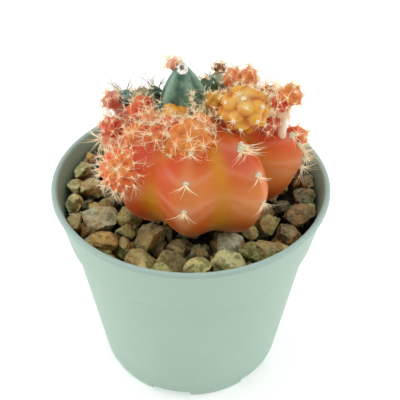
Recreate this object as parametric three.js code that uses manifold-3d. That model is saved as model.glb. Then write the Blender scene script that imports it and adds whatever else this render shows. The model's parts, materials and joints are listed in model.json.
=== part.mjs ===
// Potted moon cactus: a broad ribbed globe crowded with coloured offsets, standing in gravel in a plastic
// pot. Millimetres, +Z up, origin at the middle of the pot's foot, -Y towards the front.
import * as THREE from "three";
import { mergeVertices } from "three/addons/utils/BufferGeometryUtils.js";
import Module from "manifold-3d";

const wasm = await Module();
wasm.setup();

// Driving dimensions
const GAP = 0.35; // clearance between pieces that rest on or beside each other
const SLIVER = 0.03; // detail that a cut leaves and no eye or mould would see
const POT_HEIGHT = 69.7;
const RIM_RADIUS = 42.5;
const LIP = { width: 2, height: 1.7, overhang: 0.7, edge: 0.5 };
const COLLAR = { footRadius: 38.8, footZ: 52.5 };
const WALL = { topRadius: 37.3, topZ: 50.2, footRadius: 30.4, footZ: 2.6, thickness: 1.5 };
const FOOT = { outerRadius: 29.4, innerRadius: 26.6, rise: 2.6, floor: 1.6, lean: 0.6 };
const NOTCH = { count: 6, first: -13, degrees: 26, height: 2.8 };
const DRAIN = { holes: 6, radius: 2.6, ringRadius: 17 };
const POT_SIDES = 40;
const DRAIN_SIDES = 12;
const SOIL_HOLE_SIDES = 20;

const SOIL_TOP = 55.3;
const BED = { topZ: 58.9, innerRadius: 10 };
const BANK = { height: 3, from: 29, to: 37 }; // the gravel lies higher along the wall, between these radii
const STONE = { z: 60.5, smallest: 2.8, largest: 3.9, flatness: 0.85, spacing: 0.95, count: 57, tries: 6000,
  nearBody: 19, dent: 0.14, stretch: [1.08, 0.95, 1.05], seed: 7 };

// The body's middle, its half width, how far its crown rises and its belly hangs from that middle, the
// height below the middle that its ribs stand out from, and how round its shoulders and its belly are (1 is
// an ellipse, less is squarer). Its front is square and its back round: front and back end at the given
// parts of the way from the middle to the front (-1) and to the back (1).
const BODY = { x: 3.4, y: 0.6, z: 82, radius: 29.9, crownHeight: 11.2, bellyDepth: 22.7, waistZ: -1.3,
  shoulder: 0.52, backShoulder: 1.4, backShorter: 0.03, frontTo: -0.75, backFrom: 0.6, belly: 0.62 };
const NECK = { radius: 6.8, footRadius: 5.4, topZ: 55.7, footZ: 46.7 };
const RIDGES = [-97, -53, -9.7, 31.5, 79, 124, 170, 217]; // degrees round the body, 0 at the front
const CREASES = [0.2, 0.09, 0.09, 0.33, 0.26, 0.22, 0.22, 0.22]; // depth of the crease after each ridge
const RIB_SHARPNESS = 1.2;
const RIBBED = { from: 0, full: 40, fades: 138, ends: 178 }; // degrees down from the crown
const AREOLES = [25, 56, 92]; // degrees down from the crown along every ridge
const CHIN = { height: 0.8, spreadDown: 8, spreadAcross: 0.4 };
const BODY_ROWS = [4, 12, 25, 40, 56, 73, 92, 105, 118, 132, 146, 158, 168]; // degrees down from the crown
const RIB_COLUMNS = [0, 0.2, 0.5, 0.8]; // shares of the way from one ridge to the next
const BODY_SPINES = { each: 4, spread: 0.9, length: 5.5, seed: 11 };

const NEEDLE = { radius: 0.34, sunk: 1.1, ring: 0.55, shorter: 0.6 };

// What all offsets share: how far their stalks are sunk into what carries them, how far they turn upright,
// the depth of their ribs, the rows of their surfaces and of their areoles in degrees down from the crown,
// and how wide the spines of an areole spread.
const HEAD = { sunk: 3, upright: 0.35, swell: 1.08, rib: 0.16, ribFull: 45, ribFades: 120, ribEnds: 170,
  largeRadius: 3.9, largeRows: [24, 44, 64, 86, 108, 130], smallRows: [32, 62, 92, 122], seat: 0.6, neck: 0.3,
  manyNeedles: 13, manyAreoles: [30, 60, 92], fewAreoles: [34, 70], spread: 0.55, clearance: 1.15, seed: 23 };

// The offsets: the middle of each globe, its radius and half height, the place on the body that it grows
// from (foot: degrees round, degrees down from the crown) or the point inside another offset that carries
// it (on), its ribs, its skin colour, its number of needles and their length. cone draws the globe out into
// a cone, stem is the radius of its stalk, and faces is the way that its crown looks.
const OFFSETS = [
  { name: "pup_blue_cone", at: [-2, 4.5, 95.2], radius: 6.9, rise: 12.8, foot: [-127, 23], ribs: 5,
    faces: [-0.03, -0.12, 0.99], cone: 0.72, colour: "#4f8672", needles: 5, needleLength: 4 },
  { name: "pup_yellow_large", at: [14.8, -5.2, 98], radius: 6.4, rise: 4.6, foot: [63, 15], ribs: 8,
    faces: [-0.08, -0.32, 0.94], colour: "#d99a2e", needles: 22, needleLength: 4 },
  { name: "pup_orange_front", at: [-0.4, -13.2, 92], radius: 5.8, rise: 5, foot: [-15, 16], ribs: 7,
    faces: [0, -0.7, 0.71], colour: "#dd8338", needles: 18, needleLength: 4.5 },
  { name: "pup_spiny_left", at: [-18.9, -16.2, 85.1], radius: 5.6, rise: 5.2, foot: [-53, 75], ribs: 7,
    faces: [-0.25, -0.77, 0.58], colour: "#d8633f", needles: 26, needleLength: 5.5 },
  { name: "pup_yellow_dome", at: [-5, -1.6, 92.6], radius: 4.6, rise: 4, foot: [-76, 13], ribs: 7,
    colour: "#dd9d33", needles: 7, needleLength: 3.5 },
  { name: "pup_red_left", at: [-14, 2.4, 92.2], radius: 3.8, rise: 4.2, foot: [-96, 35], ribs: 6,
    colour: "#d4532f", needles: 12, needleLength: 4.5 },
  { name: "pup_orange_left", at: [-15.2, -9, 90.4], radius: 3.9, rise: 3.8, foot: [-63, 38], ribs: 6,
    colour: "#dc7a3a", needles: 10, needleLength: 4.5 },
  { name: "pup_orange_inner", at: [-9.6, -11.2, 92.2], radius: 3.2, rise: 3.2, foot: [-48, 22], ribs: 5,
    colour: "#dd7334", needles: 8, needleLength: 4 },
  { name: "pup_crown_left", at: [-23.2, 0, 88], radius: 3.0, rise: 3.1, foot: [-91, 73], ribs: 6,
    colour: "#d35843", needles: 12, needleLength: 4.5 },
  { name: "pup_red_brown", at: [-23, 7, 92.8], radius: 2.7, rise: 2.8, foot: [-101, 59], ribs: 6, stem: 2.2,
    colour: "#b1503c", needles: 12, needleLength: 3.5 },
  { name: "pup_teal_left", at: [-19, 8.6, 92.4], radius: 2.3, rise: 2.8, foot: [-109, 54], ribs: 5, stem: 2,
    colour: "#4a7566", needles: 4, needleLength: 8 },
  { name: "pup_dark_small", at: [-10.6, 8.6, 94.3], radius: 2.1, rise: 2, foot: [-124, 45], ribs: 5,
    stem: 1.4, colour: "#2f4f40", needles: 4, needleLength: 6 },
  { name: "pup_dark_teal", at: [-7.6, 2, 93.2], radius: 3.2, rise: 2.6, foot: [-98, 24], ribs: 5,
    colour: "#22423f", needles: 3, needleLength: 3.5 },
  { name: "pup_pink_back", at: [-11.6, -3, 93.1], radius: 2.6, rise: 2.5, foot: [-79, 36], ribs: 5,
    colour: "#e08560", needles: 8, needleLength: 4 },
  { name: "pup_pink_middle", at: [-6, -9.4, 94], radius: 3.0, rise: 2.8, foot: [-43, 11], ribs: 5,
    colour: "#db5b45", needles: 8, needleLength: 4 },
  { name: "pup_pink_right", at: [2.4, -9, 95], radius: 3.2, rise: 3, foot: [-6, 5], ribs: 6,
    colour: "#e58a55", needles: 8, needleLength: 4 },
  { name: "pup_yellow_small", at: [7, -2, 98], radius: 2.6, rise: 3.2, foot: [53, 3], ribs: 5,
    colour: "#cf8f2c", needles: 6, needleLength: 3.5 },
  { name: "pup_yellow_green", at: [4, -1, 94.1], radius: 2.1, rise: 2.2, foot: [74, 1], ribs: 5,
    colour: "#b9a33c", needles: 4, needleLength: 3 },
  { name: "pup_olive", at: [3.8, 3.2, 95.3], radius: 2.1, rise: 2.7, foot: [171, 9], ribs: 5,
    colour: "#8a8a35", needles: 4, needleLength: 3.5 },
  { name: "pup_dark_green", at: [5, 9.4, 93.9], radius: 2.8, rise: 4.6, foot: [170, 23], ribs: 5,
    colour: "#2f5233", needles: 5, needleLength: 6 },
  { name: "pup_yellow_top", at: [14, 4.4, 95], radius: 2.9, rise: 3.4, foot: [112, 31], ribs: 6,
    colour: "#d6b052", needles: 10, needleLength: 4 },
  { name: "pup_yellow_right", at: [20.6, -1.6, 96.3], radius: 2.5, rise: 2.9, foot: [78, 34], ribs: 6,
    colour: "#d9a63a", needles: 6, needleLength: 4 },
  { name: "pup_twin_left", at: [12.2, 10.2, 96.9], radius: 2.5, rise: 4.6, foot: [133, 33], ribs: 6,
    stem: 2.5, colour: "#e2692f", needles: 10, needleLength: 4 },
  { name: "pup_twin_right", at: [16.7, 9.6, 97.7], radius: 2.5, rise: 4.4, foot: [121, 39], ribs: 6,
    stem: 2.4, colour: "#e07a31", needles: 10, needleLength: 4 },
  { name: "pup_green_stalk", at: [7.8, 13.6, 94.4], radius: 2.6, rise: 3.6, foot: [165, 37], ribs: 4,
    colour: "#7f9b7c", needles: 2, needleLength: 5 },
  { name: "pup_cream", at: [22.6, 6.2, 95.7], radius: 2.2, rise: 2.3, foot: [111, 47], ribs: 5, stem: 1.6,
    colour: "#bd5d44", needles: 12, needleLength: 5.5 },
  { name: "pup_crown_right", at: [21.9, -4.8, 92.6], radius: 2.8, rise: 2.6, foot: [74, 45], ribs: 6,
    colour: "#d24a33", needles: 12, needleLength: 4 },
  { name: "pup_tall_stem", at: [26, -4.2, 95.5], radius: 1.7, rise: 3.4, foot: [76, 57], ribs: 5, stem: 1.3,
    colour: "#e0a888", needles: 4, needleLength: 3 },
  { name: "pup_tall_orange", at: [27.4, -4, 101.4], radius: 3.1, rise: 3, on: [26.2, -4.2, 97.6], ribs: 6,
    stem: 1.5, colour: "#e0752f", needles: 12, needleLength: 4 },
  { name: "pup_tall_red", at: [24.9, -4.4, 99.2], radius: 2.3, rise: 2.4, on: [25.8, -4.2, 97], ribs: 5,
    stem: 1.3, colour: "#da4f2d", needles: 7, needleLength: 3.5 },
  { name: "pup_right", at: [31, 3.4, 82], radius: 3.1, rise: 3.8, foot: [95, 93], ribs: 5, stem: 1.8,
    colour: "#d9632f", needles: 9, needleLength: 4 },
  { name: "pup_cone_tuft", at: [-5, 6, 105.4], radius: 1.7, rise: 1.8, on: [-2.6, 4.6, 100.3], ribs: 5,
    stem: 0.9, colour: "#dd8a55", needles: 8, needleLength: 3.5 },
  { name: "pup_brown_head", at: [8.6, 15.2, 98.8], radius: 1.7, rise: 1.7, on: [7.9, 14.4, 95.9], ribs: 5,
    stem: 1.5, colour: "#8f5a48", needles: 8, needleLength: 3.5 },
  { name: "pup_back_low", at: [-19.4, 12.6, 85.4], radius: 3.6, rise: 3.2, foot: [-121, 68], ribs: 6,
    colour: "#d3562f", needles: 8, needleLength: 4.5 },
  { name: "pup_back_middle", at: [7.5, 22.8, 88], radius: 3.8, rise: 3.4, foot: [170, 57], ribs: 6,
    colour: "#e08b4a", needles: 8, needleLength: 4 },
  { name: "pup_back_dark", at: [-5.4, 18.4, 87.8], radius: 3.2, rise: 3.2, foot: [-154, 55], ribs: 5,
    colour: "#3c5f4a", needles: 6, needleLength: 5 },
  { name: "pup_back_orange", at: [16.4, 24.4, 82.6], radius: 4.6, rise: 4, foot: [149, 70], ribs: 7,
    colour: "#dc7234", needles: 14, needleLength: 4.5 },
  { name: "pup_back_red", at: [-1, 27.6, 81.6], radius: 3.9, rise: 3.6, foot: [-169, 83], ribs: 6,
    colour: "#cf4c30", needles: 12, needleLength: 4.5 },
  { name: "pup_back_yellow", at: [-15.6, 22.6, 83], radius: 3.8, rise: 3.6, foot: [-139, 85], ribs: 6,
    colour: "#d89a34", needles: 10, needleLength: 4 },
  { name: "pup_back_pink", at: [27.2, 15.1, 84.4], radius: 3.2, rise: 3, foot: [121, 77], ribs: 6,
    colour: "#dd7a55", needles: 10, needleLength: 4 },
];

// The stones that show at the front and sides: x, y, half width, half height.
const FRONT_STONES = [
  [-35.1, 11.1, 3.3, 2.6], [-36.6, 3, 2.6, 2.1], [-32, 3.6, 2.9, 3.3], [-35.8, -5.6, 2.5, 3],
  [-24.6, -1.2, 2.7, 2.6], [-28.2, -10.4, 6.1, 3.6], [-34.4, -13.2, 2.6, 2.2], [-29.6, -3.9, 1.9, 1.9],
  [-25.4, -21.6, 3.7, 3], [-20.2, -21.2, 2.3, 2.9],
  [-12.6, -18.9, 5.4, 4], [-19.4, -14.6, 2.6, 2.4], [-14.6, -27.2, 3.8, 2.4], [-5.8, -27.6, 4.3, 3.2],
  [-3.6, -22.4, 3.2, 2.8], [2.6, -25, 2.6, 3.6], [10.6, -21.2, 4.4, 3.3], [10.6, -28.4, 4, 3],
  [17.2, -24.6, 2.7, 3], [22.8, -23.8, 3.9, 3.1], [23.9, -12.2, 3.4, 4.2], [28.8, -18.4, 4, 3.2],
  [33, -11.2, 4.5, 2.9], [28.2, -3.6, 3.4, 2.9], [34.6, -2.4, 3.7, 2.9], [36.8, 4.4, 2.9, 2.4],
  [-33.2, 17.6, 2.4, 2.6], [-29.6, 22.6, 2.5, 2.6],
];

// Small helpers
const degrees = THREE.MathUtils.degToRad;
const smooth = (value, from, to) => THREE.MathUtils.smoothstep(value, from, to);
const wrap = (angle) => THREE.MathUtils.euclideanModulo(angle, 360);

function randomFrom(seed) {
  let state = seed;
  return () => {
    state = (state + 0x6d2b79f5) | 0;
    let mixed = Math.imul(state ^ (state >>> 15), 1 | state);
    mixed = (mixed + Math.imul(mixed ^ (mixed >>> 7), 61 | mixed)) ^ mixed;
    return ((mixed ^ (mixed >>> 14)) >>> 0) / 2 ** 32;
  };
}

function solidOf(geometry) {
  const bare = geometry.clone();
  bare.deleteAttribute("normal");
  bare.deleteAttribute("uv");
  const merged = mergeVertices(bare, 1e-4);
  const vertProperties = merged.attributes.position.array;
  const triVerts = new Uint32Array(merged.index.array);
  return new wasm.Manifold(new wasm.Mesh({ numProp: 3, vertProperties, triVerts }));
}

function geometryOf(solid) {
  const mesh = solid.getMesh();
  const geometry = new THREE.BufferGeometry();
  geometry.setAttribute("position", new THREE.BufferAttribute(mesh.vertProperties, 3));
  geometry.setIndex(new THREE.BufferAttribute(mesh.triVerts, 1));
  const faceted = geometry.toNonIndexed();
  faceted.computeVertexNormals();
  return faceted;
}

// The biggest body of a solid, so that loose scraps of a cut are dropped.
function biggest(solid) {
  const bodies = solid.decompose();
  return bodies.sort((a, b) => b.volume() - a.volume())[0].simplify(SLIVER);
}

const plastic = (colour) => new THREE.MeshStandardMaterial({ color: colour, roughness: 0.55, metalness: 0 });
const stony = (colour) => new THREE.MeshStandardMaterial({ color: colour, roughness: 0.95, metalness: 0 });
const skin = (colour) => new THREE.MeshStandardMaterial({ color: colour, roughness: 0.6, metalness: 0 });

function named(name, geometry, material) {
  const mesh = new THREE.Mesh(geometry, material);
  mesh.name = name;
  return mesh;
}

// A closed surface from rings of points, each from the top down, with a pole at either end.
function ringSurface(top, rings, bottom) {
  const count = rings[0].length;
  const points = [top, ...rings.flat(), bottom];
  const last = points.length - 1;
  const corner = (ring, step) => 1 + ring * count + (step % count);
  const faces = [];
  for (let step = 0; step < count; step++) {
    faces.push(0, corner(0, step), corner(0, step + 1));
    for (let ring = 0; ring + 1 < rings.length; ring++) {
      const [a, b] = [corner(ring, step), corner(ring, step + 1)];
      const [c, d] = [corner(ring + 1, step), corner(ring + 1, step + 1)];
      faces.push(a, c, b, b, c, d);
    }
    faces.push(corner(rings.length - 1, step), last, corner(rings.length - 1, step + 1));
  }
  return new THREE.BufferGeometry().setFromPoints(points).setIndex(faces);
}

const lathe = (profile, sides = POT_SIDES) =>
  new THREE.LatheGeometry(profile.map(([r, z]) => new THREE.Vector2(r, z)), sides).rotateX(Math.PI / 2);

const drill = (radius, depth, sides) =>
  new THREE.CylinderGeometry(radius, radius, depth * 2, sides).rotateX(Math.PI / 2);

// Pot
// Radius of the inner wall at a height.
function innerRadius(z) {
  const lipInner = RIM_RADIUS - LIP.width;
  const lipZ = POT_HEIGHT - LIP.edge;
  const collarInner = COLLAR.footRadius - WALL.thickness;
  const wallInner = WALL.topRadius - WALL.thickness;
  if (z >= COLLAR.footZ) return THREE.MathUtils.mapLinear(z, COLLAR.footZ, lipZ, collarInner, lipInner);
  if (z >= WALL.topZ) return THREE.MathUtils.mapLinear(z, WALL.topZ, COLLAR.footZ, wallInner, collarInner);
  const footInner = WALL.footRadius - WALL.thickness;
  return THREE.MathUtils.mapLinear(z, WALL.footZ, WALL.topZ, footInner, wallInner);
}

function makePot() {
  const lipInner = RIM_RADIUS - LIP.width;
  const lipFootZ = POT_HEIGHT - LIP.height;
  const floorZ = FOOT.rise + FOOT.floor;
  const shell = solidOf(lathe([
    [0, FOOT.rise],
    [FOOT.innerRadius - FOOT.lean, FOOT.rise],
    [FOOT.innerRadius, 0],
    [FOOT.outerRadius, 0],
    [WALL.footRadius - LIP.edge / 2, WALL.footZ / 3],
    [WALL.footRadius, WALL.footZ],
    [WALL.topRadius, WALL.topZ],
    [COLLAR.footRadius, COLLAR.footZ],
    [RIM_RADIUS - LIP.overhang, lipFootZ],
    [RIM_RADIUS, lipFootZ + LIP.edge],
    [RIM_RADIUS, POT_HEIGHT - LIP.edge],
    [RIM_RADIUS - LIP.edge, POT_HEIGHT],
    [lipInner + LIP.edge, POT_HEIGHT],
    [lipInner, POT_HEIGHT - LIP.edge],
    [innerRadius(COLLAR.footZ), COLLAR.footZ],
    [innerRadius(WALL.topZ), WALL.topZ],
    [innerRadius(floorZ), floorZ],
    [0, floorZ],
  ]));
  const cuts = [];
  const notchWidth = 2 * FOOT.outerRadius * Math.sin(degrees(NOTCH.degrees / 2));
  const notchLength = 2 * (WALL.topRadius - FOOT.innerRadius);
  for (let notch = 0; notch < NOTCH.count; notch++) {
    const block = new THREE.BoxGeometry(notchWidth, notchLength, NOTCH.height * 2);
    block.translate(0, -FOOT.outerRadius, 0);
    cuts.push(solidOf(block.rotateZ(degrees(NOTCH.first + (notch * 360) / NOTCH.count))));
  }
  for (let hole = 0; hole < DRAIN.holes; hole++) {
    const drain = drill(DRAIN.radius, floorZ + GAP, DRAIN_SIDES).translate(0, DRAIN.ringRadius, 0);
    cuts.push(solidOf(drain.rotateZ((hole * 2 * Math.PI) / DRAIN.holes)));
  }
  return shell.subtract(wasm.Manifold.union(cuts));
}

// Soil: a plug that fills the pot up to the gravel, with a plain round hole for the neck of the body.
function makeSoil() {
  const footZ = FOOT.rise + FOOT.floor + GAP;
  const holeFoot = NECK.footZ - GAP;
  const holeRadius = NECK.radius + 2 * GAP;
  const atHole = [BODY.x, BODY.y, SOIL_TOP];
  const plug = solidOf(lathe([
    [0, footZ],
    [innerRadius(footZ) - GAP, footZ],
    [innerRadius(WALL.topZ) - GAP, WALL.topZ],
    [innerRadius(COLLAR.footZ) - GAP, COLLAR.footZ],
    [innerRadius(SOIL_TOP) - GAP, SOIL_TOP],
    [0, SOIL_TOP],
  ], POT_SIDES / 2));
  const neckHole = drill(holeRadius, SOIL_TOP - holeFoot, SOIL_HOLE_SIDES);
  return plug.subtract(solidOf(neckHole.translate(...atHole)));
}

// Body
// How far round an angle is from its nearest ridge, 0 on the ridge and 1 in the crease, and that crease.
function ribPlace(azimuth) {
  const turned = wrap(azimuth - RIDGES[0]) + RIDGES[0];
  const ends = [...RIDGES, RIDGES[0] + 360];
  const rib = ends.findIndex((end, index) => turned >= end && turned < ends[index + 1]);
  const share = (turned - ends[rib]) / (ends[rib + 1] - ends[rib]);
  return { away: 2 * Math.min(share, 1 - share), crease: CREASES[rib] };
}

// A point of the body's skin, from the body's middle, at an angle round and an angle down from the crown.
function bodySkin(azimuth, polar, grow = 0) {
  const [round, down] = [degrees(azimuth), degrees(polar)];
  const back = smooth(-Math.cos(round), BODY.frontTo, BODY.backFrom);
  const shoulder = THREE.MathUtils.lerp(BODY.shoulder, BODY.backShoulder, back);
  const reach = BODY.radius * (1 - BODY.backShorter * back) + grow;
  const height = (polar < 90 ? BODY.crownHeight : BODY.bellyDepth) + grow;
  const out = Math.sin(down) ** (polar < 90 ? shoulder : BODY.belly) * reach;
  const up = height * Math.cos(down);
  const smoothSkin = new THREE.Vector3(out * Math.sin(round), -out * Math.cos(round), up);
  const ribbed = smooth(polar, RIBBED.from, RIBBED.full) * (1 - smooth(polar, RIBBED.fades, RIBBED.ends));
  const { away, crease } = ribPlace(azimuth);
  const axis = new THREE.Vector3(0, 0, BODY.waistZ);
  const arm = smoothSkin.sub(axis);
  const chins = AREOLES.map((row) => {
    const across = away / CHIN.spreadAcross;
    const along = (polar - row) / CHIN.spreadDown;
    return Math.exp(-(across * across + along * along) / 2);
  });
  const chin = (CHIN.height * Math.max(...chins)) / arm.length();
  return arm.multiplyScalar(1 - crease * ribbed * away ** RIB_SHARPNESS + chin).add(axis);
}

function bodyGeometry(grow = 0) {
  const ends = [...RIDGES, RIDGES[0] + 360];
  const arounds = RIDGES.flatMap((ridge, rib) =>
    RIB_COLUMNS.map((share) => THREE.MathUtils.lerp(ridge, ends[rib + 1], share)),
  );
  const rings = BODY_ROWS.map((polar) => arounds.map((azimuth) => bodySkin(azimuth, polar, grow)));
  const neckRing = (radius, z) =>
    arounds.map((azimuth) => {
      const round = degrees(azimuth);
      return new THREE.Vector3(radius * Math.sin(round), -radius * Math.cos(round), z - BODY.z);
    });
  rings.push(neckRing(NECK.radius + grow, NECK.topZ - grow));
  rings.push(neckRing(NECK.footRadius + grow, NECK.footZ - grow));
  const foot = new THREE.Vector3(0, 0, NECK.footZ - grow - BODY.z);
  return ringSurface(bodySkin(0, 0, grow), rings, foot).translate(BODY.x, BODY.y, BODY.z);
}

const bodyMiddle = new THREE.Vector3(BODY.x, BODY.y, BODY.z);
const onBody = (azimuth, polar) => bodySkin(azimuth, polar).add(bodyMiddle);

// Offsets
// Where an offset stands: its own frame has its globe's middle at the origin and its axis along +Z.
function placeOf(offset) {
  const upright = new THREE.Vector3(0, 0, 1);
  const middle = new THREE.Vector3(...offset.at);
  const carried = Boolean(offset.on);
  const root = carried ? new THREE.Vector3(...offset.on) : onBody(...offset.foot);
  if (!carried) root.lerp(bodyMiddle, HEAD.sunk / BODY.radius);
  const straight = middle.clone().sub(root);
  const length = straight.length();
  straight.normalize();
  const leaning = straight.clone().lerp(upright, carried || offset.stem ? 0 : HEAD.upright);
  const axis = (offset.faces ? new THREE.Vector3(...offset.faces) : leaning).normalize();
  const reach = length / axis.dot(straight);
  const turn = new THREE.Quaternion().setFromUnitVectors(upright, axis);
  const matrix = new THREE.Matrix4().compose(middle, turn, new THREE.Vector3(1, 1, 1));
  return { middle, turn, matrix, reach };
}

// A point of an offset's skin in its own frame, at a share of a turn and an angle down from its crown.
function offsetSkin(offset, share, polar) {
  const down = degrees(polar);
  const cone = offset.cone ?? 0;
  const upper = Math.min(polar, 90) / 90;
  const globeRadius = THREE.MathUtils.lerp(Math.sin(down), polar < 90 ? upper : Math.sin(down), cone);
  const globeHeight = THREE.MathUtils.lerp(Math.cos(down), polar < 90 ? 1 - upper : Math.cos(down), cone);
  const inRib = (share * offset.ribs) % 1;
  const away = 2 * Math.min(inRib, 1 - inRib);
  const ribbed = smooth(polar, 0, HEAD.ribFull) * (1 - smooth(polar, HEAD.ribFades, HEAD.ribEnds));
  const radius = offset.radius * globeRadius * (HEAD.swell - HEAD.rib * ribbed * away);
  const height = polar < 90 ? offset.rise : Math.min(offset.rise, offset.radius);
  const round = share * 2 * Math.PI;
  return new THREE.Vector3(radius * Math.cos(round), radius * Math.sin(round), height * globeHeight);
}

function offsetGeometry(offset, reach) {
  const count = offset.ribs * 2;
  const downs = offset.radius > HEAD.largeRadius ? HEAD.largeRows : HEAD.smallRows;
  const rings = downs.map((polar) =>
    Array.from({ length: count }, (_, step) => offsetSkin(offset, step / count, polar)),
  );
  const stemRadius = offset.stem ?? offset.radius * HEAD.seat;
  const stemTop = rings.at(-1)[0].z - stemRadius * HEAD.neck;
  const stemFoot = Math.min(-reach, stemTop - NEEDLE.sunk);
  for (const z of offset.stem ? [stemTop, stemFoot] : [stemFoot]) {
    rings.push(Array.from({ length: count }, (_, step) => {
      const round = (step * 2 * Math.PI) / count;
      return new THREE.Vector3(stemRadius * Math.cos(round), stemRadius * Math.sin(round), z);
    }));
  }
  return ringSurface(offsetSkin(offset, 0, 0), rings, new THREE.Vector3(0, 0, stemFoot));
}

// Needles
function needle(root, direction, length, radius = NEEDLE.radius) {
  const full = length + NEEDLE.sunk;
  const cone = new THREE.ConeGeometry(radius, full, 3).translate(0, full / 2 - NEEDLE.sunk, 0);
  const turn = new THREE.Quaternion().setFromUnitVectors(new THREE.Vector3(0, 1, 0), direction);
  return solidOf(cone.applyQuaternion(turn).translate(root.x, root.y, root.z));
}

const apart = (a, b) =>
  ["0", "1", "2"].some((axis) => a.min[axis] > b.max[axis] || b.min[axis] > a.max[axis]);

function meets(solid, others) {
  const box = solid.boundingBox();
  return others.some((other) => !apart(box, other.boundingBox()) && !solid.intersect(other).isEmpty());
}

// Needles at the given roots that stay clear of every neighbour, each tried shorter before it is left out.
function clearNeedles(wanted, length, neighbours) {
  const kept = [];
  for (const { root, direction } of wanted) {
    const size = [length, length * NEEDLE.shorter].find(
      (tried) => !meets(needle(root, direction, tried + GAP, NEEDLE.radius + GAP), neighbours),
    );
    if (size) kept.push(needle(root, direction, size));
  }
  return kept;
}

// Spread of one areole's spines round its outward direction.
function spray(root, outward, count, spread, random) {
  const side = new THREE.Vector3(outward.z, 0, -outward.x).normalize();
  const over = outward.clone().cross(side);
  const start = random() * 2 * Math.PI;
  return Array.from({ length: count }, (_, index) => {
    const round = start + (index * 2 * Math.PI) / count;
    const lean = side.clone().multiplyScalar(Math.cos(round)).addScaledVector(over, Math.sin(round));
    const direction = outward.clone().addScaledVector(lean, spread).normalize();
    return { root: root.clone().addScaledVector(lean, NEEDLE.ring), direction };
  });
}

// Gravel
function makeStone(x, y, z, halfWidth, halfHeight, random) {
  const stone = new THREE.IcosahedronGeometry(1, 0);
  const corners = mergeVertices(stone.deleteAttribute("normal").deleteAttribute("uv"));
  const position = corners.attributes.position;
  const point = new THREE.Vector3();
  for (let index = 0; index < position.count; index++) {
    const dent = 1 + STONE.dent * (2 * random() - 1);
    point.fromBufferAttribute(position, index).multiplyScalar(dent);
    position.setXYZ(index, ...point);
  }
  corners.rotateX(random() * Math.PI).rotateZ(random() * Math.PI);
  const [along, across, up] = STONE.stretch;
  corners.scale(halfWidth * along, halfWidth * across, halfHeight * up).rotateZ(random() * Math.PI);
  return solidOf(corners.translate(x, y, z));
}

function makeGravel(grownBody) {
  const random = randomFrom(STONE.seed);
  const places = FRONT_STONES.map(([x, y, half, rise]) => ({ x, y, half, rise }));
  const outer = innerRadius(STONE.z) - GAP;
  for (let attempt = 0; attempt < STONE.tries && places.length < STONE.count; attempt++) {
    const round = random() * 2 * Math.PI;
    const far = outer * Math.sqrt(random());
    const half = THREE.MathUtils.lerp(STONE.smallest, STONE.largest, random());
    const [x, y] = [far * Math.cos(round), far * Math.sin(round)];
    const outside = Math.hypot(x - BODY.x, y - BODY.y) > STONE.nearBody && far < outer - half / 2;
    const touches = (stone) => Math.hypot(x - stone.x, y - stone.y) < STONE.spacing * (half + stone.half);
    const free = !places.some(touches);
    if (outside && free) places.push({ x, y, half, rise: half * STONE.flatness });
  }
  const bedFoot = SOIL_TOP + GAP;
  const bed = solidOf(lathe([
    [BED.innerRadius, bedFoot],
    [innerRadius(bedFoot) - GAP, bedFoot],
    [innerRadius(BED.topZ + BANK.height) - GAP, BED.topZ + BANK.height],
    [BANK.from, BED.topZ],
    [BED.innerRadius, BED.topZ],
    [BED.innerRadius, bedFoot],
  ], POT_SIDES / 2));
  const banked = (x, y) => STONE.z + BANK.height * smooth(Math.hypot(x, y), BANK.from, BANK.to);
  const stones = places.map(({ x, y, half, rise }) => makeStone(x, y, banked(x, y), half, rise, random));
  const room = solidOf(lathe([
    [0, bedFoot],
    [innerRadius(bedFoot) - GAP, bedFoot],
    [innerRadius(POT_HEIGHT - LIP.edge) - GAP, POT_HEIGHT - LIP.edge],
    [0, POT_HEIGHT - LIP.edge],
  ], POT_SIDES / 2));
  return biggest(wasm.Manifold.union([bed, ...stones]).intersect(room).subtract(grownBody));
}

// Plant
function needlesOfBody(neighbours) {
  const random = randomFrom(BODY_SPINES.seed);
  const wanted = RIDGES.flatMap((ridge) =>
    AREOLES.flatMap((polar) => {
      const root = onBody(ridge, polar);
      const outward = root.clone().sub(bodyMiddle).normalize();
      return spray(root, outward, BODY_SPINES.each, BODY_SPINES.spread, random);
    }),
  );
  return clearNeedles(wanted, BODY_SPINES.length, neighbours);
}

function needlesOfOffset(offset, place, neighbours, random) {
  const rows = offset.needles > HEAD.manyNeedles ? HEAD.manyAreoles : HEAD.fewAreoles;
  const spots = rows.flatMap((polar) =>
    Array.from({ length: offset.ribs }, (_, rib) => ({ polar, share: rib / offset.ribs })),
  );
  const each = offset.needles > spots.length ? 2 : 1;
  const used = Math.round(offset.needles / each);
  const picked = Array.from({ length: used }, (_, index) => spots[Math.floor((index * spots.length) / used)]);
  const wanted = picked.flatMap(({ polar, share }) => {
    const local = offsetSkin(offset, share, polar);
    const outward = local.clone().normalize().applyQuaternion(place.turn);
    return spray(local.applyMatrix4(place.matrix), outward, each, HEAD.spread, random);
  });
  return clearNeedles(wanted, offset.needleLength, neighbours);
}

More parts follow.
